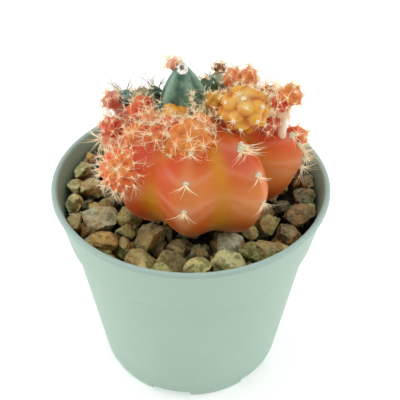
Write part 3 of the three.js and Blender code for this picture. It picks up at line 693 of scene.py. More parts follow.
def set_inputs(modifier, values):
    """Sets a node modifier's inputs, each by its socket's identifier."""
    sockets = {item.name: item.identifier for item in modifier.node_group.interface.items_tree
               if item.in_out == "INPUT"}
    for title, value in values.items():
        modifier[sockets[title]] = value


def random_between(tree, low, high, seed, kind="FLOAT"):
    """A random value for each point or copy."""
    node = add(tree, "FunctionNodeRandomValue", data_type=kind)
    first = {"FLOAT": 2, "FLOAT_VECTOR": 0, "INT": 4}[kind]
    node.inputs[first].default_value = low
    node.inputs[first + 1].default_value = high
    tree.links.new(seed, node.inputs["Seed"])
    return node.outputs[{"FLOAT": 1, "FLOAT_VECTOR": 0, "INT": 2}[kind]]


def named(tree, title, kind):
    """What the points of the incoming mesh keep under a title."""
    return add(tree, "GeometryNodeInputNamedAttribute", {"Name": title}, data_type=kind).outputs["Attribute"]


def scaled(tree, vector, by):
    """A vector made longer or shorter."""
    return add(tree, "ShaderNodeVectorMath", {0: vector, "Scale": by}, operation="SCALE").outputs[0]


def made_real(tree, copies, finish):
    """The copies as one plain mesh that wears the finish."""
    real = add(tree, "GeometryNodeRealizeInstances", {"Geometry": copies.outputs[0]})
    return add(tree, "GeometryNodeSetMaterial", {"Geometry": real.outputs[0], "Material": finish}).outputs[0]


def stone_tree():
    tree = bpy.data.node_groups.new("Stones on points", "GeometryNodeTree")
    wanted = {"Shapes": "Collection", "Tilt": "Float", "Seed": "Int", "Finish": "Material"}
    start, end = node_inputs(tree, wanted)
    seed = start.outputs["Seed"]
    shapes = add(tree, "GeometryNodeCollectionInfo",
                 {"Collection": start.outputs["Shapes"], "Separate Children": True, "Reset Children": True})
    which = random_between(tree, 0, MOST_SHAPES, seed, "INT")
    lean = random_between(tree, [-most for most in MOST_LEAN], MOST_LEAN, seed, "FLOAT_VECTOR")
    laid = add(tree, "GeometryNodeInstanceOnPoints",
               {"Points": start.outputs["Geometry"], "Instance": shapes.outputs[0], "Pick Instance": True,
                "Instance Index": which, "Rotation": scaled(tree, lean, start.outputs["Tilt"]),
                "Scale": named(tree, "size", "FLOAT_VECTOR")})
    tree.links.new(made_real(tree, laid, start.outputs["Finish"]), end.inputs["Geometry"])
    return tree


stones_on_points = stone_tree()
print("tree:", stones_on_points.name)

# %% [markdown]
# ## The stones' finish
# Every stone has its own base tone, stored on its point and carried along by the tree. Over it go darker
# patches, rust, pale specks, dark pits, a pale layer on what faces up that is partly dust and partly painted
# light, and painted shade on what faces down. The last two masks come from the surface normal, so they stay
# on the top and the underside of a stone from whichever side it is looked at.

# %% Weathered stone
WEATHER = {
    "roughness": 0.88, "grain": (300.0, 900.0, 700.0), "coarse_grain": (170.0, 420.0, 400.0),
    "shade": (0.8, "#7a7850"), "shade_span": (0.25, 0.75), "rust": ((0.55, 0.7), (0.0, 0.7), "#b0803a"),
    # A pale layer on what faces up: partly dust, partly painted light.
    "specks": (0.35, "#d8cea4"), "pits": ((0.3, 0.38), (0.5, 0.0), "#2e281c"), "dust_and_top_light": (0.45, "#eee8b8"),
    "dust_and_top_light_up": (0.2, 0.95), "dust_and_top_light_in_relief": (0.38, 0.6, 0.15, 0.6),
    # Dark on what faces down: painted shade.
    "underside": ((-0.7, 0.25), (0.7, 0.0), "#33291a"), "relief": (1.0, 1.1),
}


def weathered_stone():
    material, tree, shader, place = new_material("weathered_stone", roughness=WEATHER["roughness"])
    parts = grained(tree, place, WEATHER["grain"])
    coarse = grained(tree, place, WEATHER["coarse_grain"])
    tone = stored(tree, "tone", "Color")
    share, code = WEATHER["shade"]
    shaded = mixed(tree, share, tone, colour(code), "MULTIPLY")
    paint = mixed(tree, ranged(tree, parts["Patches"], *WEATHER["shade_span"]), shaded, tone)
    paint = over_span(tree, paint, coarse["Patches"], *WEATHER["rust"])
    paint = over(tree, paint, parts["Specks"], *WEATHER["specks"])
    paint = over_span(tree, paint, coarse["Height"], *WEATHER["pits"])
    facing_up = along_z(tree, add(tree, "ShaderNodeNewGeometry").outputs["Normal"])
    # Partly dust and partly painted light on what faces up.
    dust_and_top_light_mask = calculate(tree, "MULTIPLY", ranged(tree, facing_up, *WEATHER["dust_and_top_light_up"]),
                      ranged(tree, parts["Height"], *WEATHER["dust_and_top_light_in_relief"]))
    share, code = WEATHER["dust_and_top_light"]
    paint = mixed(tree, dust_and_top_light_mask, paint, mixed(tree, share, tone, colour(code)))
    # Painted shade on what faces down.
    paint_on(tree, shader, over_span(tree, paint, facing_up, *WEATHER["underside"]))
    bumped(tree, shader, parts["Height"], *WEATHER["relief"])
    return material


stone_finish = weathered_stone()
print("stone finish:", stone_finish.name)

# %% [markdown]
# ## Lay the gravel
# The two layers go through the same tree with different shapes and seeds, and are joined into one piece,
# as the packed gravel is one solid. Along the wall the gravel lies a little higher, like a bank. Stones
# there would poke through the wall, so each point beyond it is pulled back to it. The flat sides that this
# gives them face the wall, where nobody sees them.

# %% Lay the gravel
def banked(x, y):
    """How much higher the gravel lies at a place, along the wall of the pot."""
    return BANK["height"] * smooth(math.hypot(x, y), BANK["from"], BANK["to"])


def lay_stones(name, stones, rule, tones, shapes):
    """A layer of stones, on points that take the layer's levels in turn."""
    levels = rule["levels"]
    points = new_object(name, [(x, y, levels[number % len(levels)] + banked(x, y))
                               for number, (x, y, _, _) in enumerate(stones)])
    fuller = rule["fuller"]
    sizes = [(half * fuller, half * STONE_DEPTH * fuller, tall) for _, _, half, tall in stones]
    keep_on_points(points, size=np.array(sizes) * MM, tone=[colour(TONES[tone]) for tone in tones])
    modifier = points.modifiers.new("stones", "NODES")
    modifier.node_group = stones_on_points
    set_inputs(modifier, {"Shapes": shapes, "Tilt": STONE_TILT, "Seed": rule["turns_seed"],
                          "Finish": stone_finish})
    apply_modifiers(points)
    return points


def press_against_wall(piece):
    """Pulls in the points of the gravel that lie beyond the pot's inner wall."""
    count = len(piece.data.vertices)
    places = np.empty(count * 3, np.float32)
    piece.data.vertices.foreach_get("co", places)
    places = places.reshape(count, 3)
    far = np.hypot(places[:, 0], places[:, 1])
    most = (inner_radius(places[:, 2] / MM) - GAP) * MM
    places[:, :2] *= np.minimum(1, most / np.maximum(far, MM))[:, None]
    piece.data.vertices.foreach_set("co", places.ravel())
    piece.data.update()


draw = random.Random(STONE["seed"])
top_tones = [stone[4] for stone in FRONT_STONES]
top_tones += [draw.choice(OTHER_TOP_TONES) for _ in top_stones[len(FRONT_STONES):]]
fill_tones = [draw.choice(FILL_TONES) for _ in fill_stones]
gravel = lay_stones("gravel_stones", top_stones, STONE, top_tones, fine_stones)
fill = lay_stones("gravel_fill", fill_stones, FILL, fill_tones, coarse_stones)
with bpy.context.temp_override(active_object=gravel, selected_editable_objects=[gravel, fill]):
    bpy.ops.object.join()
press_against_wall(gravel)
finish_piece(gravel, "gravel")
for shapes in (fine_stones, coarse_stones):
    for shape in list(shapes.objects):
        bpy.data.objects.remove(shape)
    bpy.data.collections.remove(shapes)
print("gravel faces:", len(gravel.data.polygons), "stones:", len(top_stones) + len(fill_stones))

# %% [markdown]
# ## The body's skin
# The main body is one squat globe with eight broad ribs. A formula gives its skin: a globe with squared
# shoulders, drawn in towards a crease between each two ridges, with a small chin at every areole. The
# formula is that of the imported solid, with many more points, so the two lie on each other. Directions are in
# degrees: azimuth runs round from the front, and polar runs down from the crown.

# %% The formula of the body's skin
BODY = {"x": 3.4, "y": 0.6, "z": 82, "radius": 29.9, "crown_height": 11.2, "belly_depth": 22.7,
        "waist_z": -1.3, "shoulder": 0.52, "back_shoulder": 1.4, "back_shorter": 0.03,
        "front_to": -0.75, "back_from": 0.6, "belly": 0.62}
RIDGES = [-97, -53, -9.7, 31.5, 79, 124, 170, 217]
CREASES = [0.2, 0.09, 0.09, 0.33, 0.26, 0.22, 0.22, 0.22]
AREOLES = [25, 56, 92]
CHIN = {"height": 0.8, "spread_down": 8, "spread_across": 0.4}
RIB = {"sharpness": 1.2, "soft_crease": 0.2, "grow": (0, 40), "fade": (138, 178)}
BODY_MIDDLE = np.array([BODY["x"], BODY["y"], BODY["z"]])


def body_skin(azimuth, polar):
    """Points of the skin from the body's middle, and how far each is from a ridge (1 in a crease)."""
    azimuth, polar = np.broadcast_arrays(np.asarray(azimuth, float), np.asarray(polar, float))
    ends = np.array(RIDGES + [RIDGES[0] + 360], float)
    turned_to = (azimuth - ends[0]) % 360 + ends[0]
    rib = np.clip(np.searchsorted(ends, turned_to, side="right") - 1, 0, len(RIDGES) - 1)
    share = (turned_to - ends[rib]) / (ends[rib + 1] - ends[rib])
    away = 2 * np.minimum(share, 1 - share)
    crease = np.array(CREASES)[rib]
    valley = (1 - np.cos(math.pi * away)) / 2
    depth = blend(valley, away ** RIB["sharpness"], np.minimum(crease / RIB["soft_crease"], 1) ** 2)
    turn, down = np.radians(azimuth), np.radians(polar)
    back = smooth(-np.cos(turn), BODY["front_to"], BODY["back_from"])
    shoulder = blend(BODY["shoulder"], BODY["back_shoulder"], back)
    reach = BODY["radius"] * (1 - BODY["back_shorter"] * back)
    out = np.sin(down) ** np.where(polar < 90, shoulder, BODY["belly"]) * reach
    height = np.where(polar < 90, BODY["crown_height"], BODY["belly_depth"]) * np.cos(down)
    arm = np.stack([out * np.sin(turn), -out * np.cos(turn), height - BODY["waist_z"]], -1)
    ribbed = smooth(polar, *RIB["grow"]) * (1 - smooth(polar, *RIB["fade"]))
    chins = [np.exp(-((away / CHIN["spread_across"]) ** 2 + ((polar - row) / CHIN["spread_down"]) ** 2) / 2)
             for row in AREOLES]
    chin = CHIN["height"] * np.max(chins, 0) / np.linalg.norm(arm, axis=-1)
    arm *= (1 - crease * ribbed * depth + chin)[..., None]
    arm[..., 2] += BODY["waist_z"]
    return arm, away


def on_body(azimuth, polar):
    """The place of a point of the skin in the scene, in millimetres."""
    return body_skin(azimuth, polar)[0] + BODY_MIDDLE


print("front of the body, in mm:", on_body(0, 90).round(1))

# %% [markdown]
# ## Build the body
# The skin is drawn as 150 rings of 320 points, fine enough that no straight edge shows. Slow noise dents it
# a little, because no plant is turned on a lathe. Three masks are stored on its points, for the finish to
# read: how near a ridge is, the pale bands that spread from each areole, and the pads round the areoles.

# %% Build the body
BODY_RINGS = 150
BODY_COLUMNS = 320
BODY_TOP, BODY_END = 2, 158
DENT = {"scale": 0.055, "height": 0.7, "roughness": 1, "lacunarity": 2, "octaves": 2}
BAND = {"rows": [*AREOLES, 104], "below": 4, "slope": 17, "width": 4.5, "fades_from": 0.55}
PAD = {"across": 0.2, "down": 6}


def body_masks(away, polar):
    """Nearness to a ridge, the pale bands and the pads round the areoles, at each point of the skin."""
    bands = [np.exp(-((polar - row - BAND["below"] + BAND["slope"] * away) / BAND["width"]) ** 2)
             for row in BAND["rows"]]
    pads = [np.exp(-((away / PAD["across"]) ** 2 + ((polar - row) / PAD["down"]) ** 2)) for row in AREOLES]
    band = np.max(bands, 0) * (1 - smooth(away, BAND["fades_from"], 1))
    return {"crest": 1 - away, "band": band, "knob": np.max(pads, 0)}


def body_piece():
    polar = np.linspace(BODY_TOP, BODY_END, BODY_RINGS)[:, None]
    azimuth = (np.arange(BODY_COLUMNS) * 360 / BODY_COLUMNS)[None, :]
    skin, away = body_skin(azimuth, polar)
    skin = skin.reshape(-1, 3)
    dents = np.array([fractal(point, DENT) for point in skin])
    skin *= 1 + (dents * DENT["height"] / BODY["radius"])[:, None]
    turn = np.radians(azimuth[0])
    neck = []
    for radius, z in ((NECK["radius"], NECK["top_z"]), (NECK["radius"] * NECK["foot_share"], NECK["foot_z"])):
        height = np.full_like(turn, z - BODY["z"])
        neck.append(np.stack([radius * np.sin(turn), -radius * np.cos(turn), height], -1))
    top = body_skin(0, 0)[0]
    foot = np.array([0, 0, NECK["foot_z"] - BODY["z"]])
    points = np.concatenate([[top], skin, *neck, [foot]]) + BODY_MIDDLE
    body = new_object("cactus_body", points, ring_faces(BODY_RINGS + len(neck), BODY_COLUMNS))
    below = np.zeros(len(neck) * BODY_COLUMNS + 1)
    for title, mask in body_masks(away, polar).items():
        keep_on_points(body, **{title: np.concatenate([mask[0, :1], mask.ravel(), below])})
    return body


body = body_piece()
finish_piece(body, "body")
print("body faces:", len(body.data.polygons))

# %% [markdown]
# ## The body's finish
# The flesh is salmon, with paler ridges and ochre creases, red on the shoulders and browner down by the
# gravel. Those areas are laid on in object coordinates, each as a soft ball of colour with a middle, a reach
# and a largest share, while ridges, bands and pads come from the masks. A little light passes through the
# flesh, as it does in any fruit, and a sheen stands for the fine bloom that makes its edges paler.

# %% Salmon flesh
ZONES = [
    ((28, -8, 92), 12, "#e6381e", 0.85),
    ((14, -20, 93), 9, "#d2483a", 0.75),
    ((-10, -22, 90), 11, "#d8401e", 0.8),
    ((-20, -14, 88), 14, "#d63a26", 0.8),
    ((-20, -18, 70), 11, "#cc4a28", 0.7),
    ((16, -25, 81), 12, "#ee9a52", 0.75),
    ((28, -12, 78), 14, "#e48e48", 0.7),
    ((1.5, -26, 84), 10, "#e49450", 0.7),
    ((-2, -29, 77), 5, "#e08a52", 0.6),
    ((-3, -29, 72), 5, "#e8a070", 0.55),
]
SALMON = {
    "specular_ior_level": 0.3, "subsurface_weight": 0.15, "subsurface_scale": 1.6 * MM,
    "subsurface_radius": (1.0, 0.45, 0.2), "sheen_weight": 0.3, "sheen_roughness": 0.25,
    "sheen_tint": colour("#ffd4a8"),
}
SALMON_PAINT = {
    "grain": (90.0, 2600.0, 2200.0), "valley": ("#cf7c0a", "#d68a12"), "flank": ("#cf5410", "#d4661c"),
    "ridge": ("#d87c3c", "#da844a"), "valley_to_flank": (0.0, 0.5), "flank_to_ridge": (0.7, 1.0, 0.0, 0.45),
    "by_the_gravel": ((59, 68), (0.75, 0.0), "#c46c38"), "band": (0.2, "#ecb08a"), "knob": (0.45, "#dca684"),
    "specks": (0.08, "#e8b488"), "roughness": (0.36, 0.5), "relief": (0.2, 0.2),
}


def ball_mask(tree, place, middle, reach):
    """1 at a point of the object, given in millimetres, fading to 0 at the reach."""
    away = add(tree, "ShaderNodeVectorMath", {0: place, 1: [value * MM for value in middle]},
               operation="DISTANCE").outputs["Value"]
    return ranged(tree, away, 0.0, reach * MM, 1.0, 0.0)


def salmon_flesh():
    material, tree, shader, place = new_material("salmon_flesh", **SALMON)
    parts = grained(tree, place, SALMON_PAINT["grain"])
    crest = stored(tree, "crest")
    valley = patchy(tree, parts, SALMON_PAINT["valley"])
    flank = patchy(tree, parts, SALMON_PAINT["flank"])
    ridge = patchy(tree, parts, SALMON_PAINT["ridge"])
    paint = mixed(tree, ranged(tree, crest, *SALMON_PAINT["valley_to_flank"]), valley, flank)
    paint = mixed(tree, ranged(tree, crest, *SALMON_PAINT["flank_to_ridge"]), paint, ridge)
    for middle, reach, code, most in ZONES:
        paint = over(tree, paint, ball_mask(tree, place, middle, reach), most, code)
    paint = over_span(tree, paint, along_z(tree, place), *SALMON_PAINT["by_the_gravel"], unit=MM)
    for title in ("band", "knob"):
        paint = over(tree, paint, stored(tree, title), *SALMON_PAINT[title])
    paint_on(tree, shader, over(tree, paint, parts["Specks"], *SALMON_PAINT["specks"]))
    worn(tree, shader, parts, *SALMON_PAINT["roughness"])
    bumped(tree, shader, parts["Height"], *SALMON_PAINT["relief"])
    return material


body.data.materials.append(salmon_flesh())
print("body finish:", body.data.materials[0].name)

# %% [markdown]
# ## Areoles: wool and spines
# Every cactus spine grows from an areole, a small cushion of felt on a rib. One Geometry Nodes tree grows
# both on any set of points: it copies a bent, tapering spine several times round each point, leaning out
# from the direction stored there, and sets one ragged cushion in their middle. Number, length, thickness,
# lean and bend are its named inputs, so the same tree serves long body spines and the short ones of an
# offset. Each spine gets its own length, lean and turn at random, since no two on a plant are alike.

# %% The tree that grows wool and spines
SPINE = {"steps": 4, "sides": 4, "rooted": 0.08, "bulge": 0.35, "hook": 0.6, "tip": 0.14}
VARY = {"turn": (-0.6, 0.6), "lean": (0.5, 1.25), "first_lean": 0.25, "length": (0.5, 1.3)}
TUFTS = {"scale": 2.6, "detail": 2.0, "height": 0.7, "flatness": 0.75}


def local_turn(tree, rotation, axis, angle):
    """A rotation turned further round one of its own axes."""
    by = add(tree, "FunctionNodeAxisAngleToRotation", {"Axis": axis, "Angle": angle})
    sockets = {"Rotation": rotation, "Rotate By": by.outputs[0]}
    return add(tree, "FunctionNodeRotateRotation", sockets, rotation_space="LOCAL").outputs[0]


def multiplied(tree, first, *others):
    """The product of all the values."""
    for other in others:
        first = calculate(tree, "MULTIPLY", first, other)
    return first


def marked(tree, geometry, title, value):
    """The geometry with a value kept on its points."""
    sockets = {"Geometry": geometry, "Name": title, "Value": value}
    return add(tree, "GeometryNodeStoreNamedAttribute", sockets, data_type="FLOAT", domain="POINT").outputs[0]


def one_spine(tree, start):
    """A spine of unit length along Z, bent towards -Y and tapered to its tip."""
    bend = start.outputs["Bend"]
    middle = add(tree, "ShaderNodeCombineXYZ", {1: multiplied(tree, bend, SPINE["bulge"]), 2: 0.5})
    tip = add(tree, "ShaderNodeCombineXYZ", {1: multiplied(tree, bend, -SPINE["hook"]), 2: 1.0})
    line = add(tree, "GeometryNodeCurveQuadraticBezier",
               {"Resolution": SPINE["steps"], "Start": (0, 0, -SPINE["rooted"]), "Middle": middle.outputs[0],
                "End": tip.outputs[0]})
    along = add(tree, "GeometryNodeSplineParameter").outputs["Factor"]
    slender = calculate(tree, "DIVIDE", start.outputs["Spine thickness"], start.outputs["Spine length"])
    ring = add(tree, "GeometryNodeCurvePrimitiveCircle", {"Resolution": SPINE["sides"], "Radius": slender})
    return add(tree, "GeometryNodeCurveToMesh",
               {"Curve": marked(tree, line.outputs[0], "along", along), "Profile Curve": ring.outputs[0],
                "Scale": ranged(tree, along, 0.0, 1.0, 1.0, SPINE["tip"]), "Fill Caps": True}).outputs[0]


def spines_round(tree, start, outward):
    """Spines that stand round each point and lean out from its direction, the first of them least."""
    seed = start.outputs["Seed"]
    each = start.outputs["Spines in each"]
    copies = add(tree, "GeometryNodeDuplicateElements",
                 {"Geometry": start.outputs["Geometry"], "Amount": each}, domain="POINT")
    number = copies.outputs["Duplicate Index"]
    place_in_ring = calculate(tree, "ADD", number, random_between(tree, *VARY["turn"], seed))
    turn = multiplied(tree, calculate(tree, "DIVIDE", place_in_ring, each), 2 * math.pi)
    turn = calculate(tree, "ADD", turn, named(tree, "start", "FLOAT"))
    is_first = calculate(tree, "LESS_THAN", number, 0.5)
    upright = ranged(tree, is_first, 0.0, 1.0, 1.0, VARY["first_lean"])
    lean = multiplied(tree, start.outputs["Lean"], random_between(tree, *VARY["lean"], seed),
                      named(tree, "spread", "FLOAT"), upright)
    leaning = local_turn(tree, local_turn(tree, outward, (0, 0, 1), turn), (1, 0, 0), lean)
    length = multiplied(tree, named(tree, "reach", "FLOAT"), random_between(tree, *VARY["length"], seed),
                        start.outputs["Spine length"])
    points = marked(tree, copies.outputs["Geometry"], "tint", random_between(tree, 0.0, 1.0, seed))
    spines = add(tree, "GeometryNodeInstanceOnPoints",
                 {"Points": points, "Instance": one_spine(tree, start), "Rotation": leaning, "Scale": length})
    return made_real(tree, spines, start.outputs["Spine finish"])


def wool_in_middle(tree, start, outward):
    """One ragged, flattened ball of wool on each point."""
    ball = add(tree, "GeometryNodeMeshIcoSphere",
               {"Radius": 1.0, "Subdivisions": start.outputs["Wool detail"]}).outputs["Mesh"]
    tufts = add(tree, "ShaderNodeTexNoise", {"Scale": TUFTS["scale"], "Detail": TUFTS["detail"]},
                normalize=False)
    ragged = scaled(tree, tufts.outputs["Color"], TUFTS["height"])
    ball = add(tree, "GeometryNodeSetPosition", {"Geometry": ball, "Offset": ragged})
    flat = add(tree, "ShaderNodeCombineXYZ", {0: 1.0, 1: 1.0, 2: TUFTS["flatness"]}).outputs[0]
    across = multiplied(tree, start.outputs["Wool radius"], named(tree, "size", "FLOAT"))
    wool = add(tree, "GeometryNodeInstanceOnPoints",
               {"Points": start.outputs["Geometry"], "Instance": ball.outputs[0], "Rotation": outward,
                "Scale": scaled(tree, flat, across)})
    return made_real(tree, wool, start.outputs["Wool finish"])


def areole_tree():
    tree = bpy.data.node_groups.new("Wool and spines on areoles", "GeometryNodeTree")
    start, end = node_inputs(tree, {
        "Spines in each": "Int", "Spine length": "Float", "Spine thickness": "Float", "Lean": "Float",
        "Bend": "Float", "Wool radius": "Float", "Wool detail": "Int", "Seed": "Int",
        "Spine finish": "Material", "Wool finish": "Material"})
    outward = add(tree, "FunctionNodeAlignRotationToVector",
                  {"Vector": named(tree, "outward", "FLOAT_VECTOR")}).outputs[0]
    both = add(tree, "GeometryNodeJoinGeometry")
    for part in (wool_in_middle(tree, start, outward), spines_round(tree, start, outward)):
        tree.links.new(part, both.inputs[0])
    smoothed = add(tree, "GeometryNodeSetShadeSmooth", {"Geometry": both.outputs[0]})
    tree.links.new(smoothed.outputs[0], end.inputs["Geometry"])
    return tree


wool_and_spines = areole_tree()
print("tree:", wool_and_spines.name)

# %% [markdown]
# ## Finishes of wool and spines
# Young spines are straw coloured with a warm foot, and old or shaded ones turn grey-brown. The tree stores
# how far along its spine each point lies, and a random number for each spine, so one material can shade
# every spine from foot to tip and make no two quite alike. Wool is pale, and so rough that it never shines.
# Hairs this thin let light through, so pale wool and straw spines glow a little in place of that light.

# %% Spine and wool finishes
SPINE_PAINT = {"roughness": 0.45, "foot_to_shaft": (0.0, 0.35), "tip_span": (0.7, 1.0),
               "tip_shares": (0.0, 0.8), "faded": (0.4, "#fbf1d6")}
FELT = {"roughness": 1.0, "grain": (1800.0, 5000.0, 6000.0), "tufts": (0.5, "#f6f1e2"), "relief": (0.5, 0.3)}
SPINE_KINDS = {
    "straw": {"foot": "#e6ae7e", "shaft": "#f4e2b8", "tip": "#e4d49c", "glow": 0.18},
    "grey": {"foot": "#857a66", "shaft": "#8a8270", "tip": "#6a5f50", "glow": 0},
}
WOOL_KINDS = {
    "cream": {"code": "#eed8ae", "glow": 0.18},
    "grey": {"code": "#dcd6b4", "glow": 0.22},
    "white": {"code": "#f4f2ea", "glow": 0.3},
    "brown": {"code": "#3e2f28", "glow": 0},
}


def spine_finish(title, foot, shaft, tip, glow):
    rough = SPINE_PAINT["roughness"]
    material, tree, shader, _ = new_material(title, roughness=rough, emission_strength=glow)
    along = stored(tree, "along")
    paint = mixed(tree, ranged(tree, along, *SPINE_PAINT["foot_to_shaft"]), colour(foot), colour(shaft))
    paint = over_span(tree, paint, along, SPINE_PAINT["tip_span"], SPINE_PAINT["tip_shares"], tip)
    paint = over(tree, paint, stored(tree, "tint"), *SPINE_PAINT["faded"])
    paint_on(tree, shader, paint, "Emission Color")
    return material


def felt(title, code, glow):
    material, tree, shader, place = new_material(title, roughness=FELT["roughness"], emission_strength=glow)
    parts = grained(tree, place, FELT["grain"])
    paint = over(tree, colour(code), parts["Patches"], *FELT["tufts"])
    paint_on(tree, shader, paint, "Emission Color")
    bumped(tree, shader, parts["Height"], *FELT["relief"])
    return material


SPINES = {kind: spine_finish(kind + "_spines", **values) for kind, values in SPINE_KINDS.items()}
WOOL = {kind: felt(kind + "_wool", **values) for kind, values in WOOL_KINDS.items()}
print("spine finishes:", list(SPINES), "wool finishes:", list(WOOL))

# %% [markdown]
# ## The body's areoles
# The body carries three areoles down each ridge, on the chins, and a few more where the plant has a close
# tuft of them. Their spines are the longest on the plant and droop, so the stored direction leans down from
# the skin. A few areoles are larger, as on the real plant, and each ridge may have longer or shorter spines.

# %% Grow the body's wool and spines
BODY_SPINES = {"droop": 0.9, "spread": 0.75, "seed": 11, "spines": (22, 5.4, 0.12), "wool": (0.62, 4),
               "lean": 0.95, "bend": 0.3}
LARGE_AREOLES = {(31.5, 25): 1.6, (31.5, 56): 1.3, (31.5, 92): 1.1, (79, 92): 1.4, (79, 56): 1.3}
RIDGE_REACH = {-97: 1.4, -9.7: 0.8, 31.5: 0.75, 79: 0.85}
CLOSE_AREOLES = [(34, 22), (29, 27), (35, 28), (79, 72), (80, 84), (79, 101)]


def areole_inputs(rule):
    """The tree's inputs for a rule: spines in each, their length and thickness, radius and detail of wool."""
    each, length, thickness = rule["spines"]
    radius, detail = rule["wool"]
    return {"Spines in each": each, "Spine length": length * MM, "Spine thickness": thickness * MM,
            "Lean": rule["lean"], "Bend": rule["bend"], "Wool radius": radius * MM, "Wool detail": detail}


def grow(name, areoles, seed, spine_kind, wool_kind, rule):
    """Wool and spines on areoles, each with its place, outward direction, size of wool, reach and spread."""
    places, outward, size, reach, spread = [np.array(column, float) for column in zip(*areoles)]
    points = new_object(name, places)
    draw = random.Random(seed)
    turns = [draw.uniform(0, 2 * math.pi) for _ in places]
    keep_on_points(points, outward=outward, size=size, reach=reach, spread=spread, start=turns)
    modifier = points.modifiers.new("wool and spines", "NODES")
    modifier.node_group = wool_and_spines
    set_inputs(modifier, {"Seed": seed, "Spine finish": SPINES[spine_kind], "Wool finish": WOOL[wool_kind],
                          **areole_inputs(rule)})
    apply_modifiers(points)
    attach(points, "root")
    return points


def body_areoles():
    droop = np.array([0, 0, BODY_SPINES["droop"]])
    areoles = []
    for ridge, row in [(ridge, row) for ridge in RIDGES for row in AREOLES] + CLOSE_AREOLES:
        place = on_body(ridge, row)
        out = (place - BODY_MIDDLE) / np.linalg.norm(place - BODY_MIDDLE)
        size = LARGE_AREOLES.get((ridge, row), 1)
        areoles.append((place, out - droop, size, RIDGE_REACH.get(ridge, 1), BODY_SPINES["spread"]))
    return areoles


areoles = body_areoles()
body_spines = grow("body_spines", areoles, BODY_SPINES["seed"], "straw", "grey", BODY_SPINES)
print("body areoles:", len(areoles), "faces:", len(body_spines.data.polygons))

# %% [markdown]
# ## The offsets
# Each offset is a small head of its own: a globe covered with knobs, and an areole on every knob. One table
# lists them. A row gives the middle of a head and its half width and half height, the point that it grows
# from, in the body's skin or on another head, and the colours of its knobs, its creases and its crown. Its
# spines are given by kind, number in each areole and length. Some heads face another way than their stalk
# does, and some have a thin stalk, more wool, or finer or coarser knobs, given in degrees from one knob to
# the next. They crowd each other, and where two touch they simply overlap.

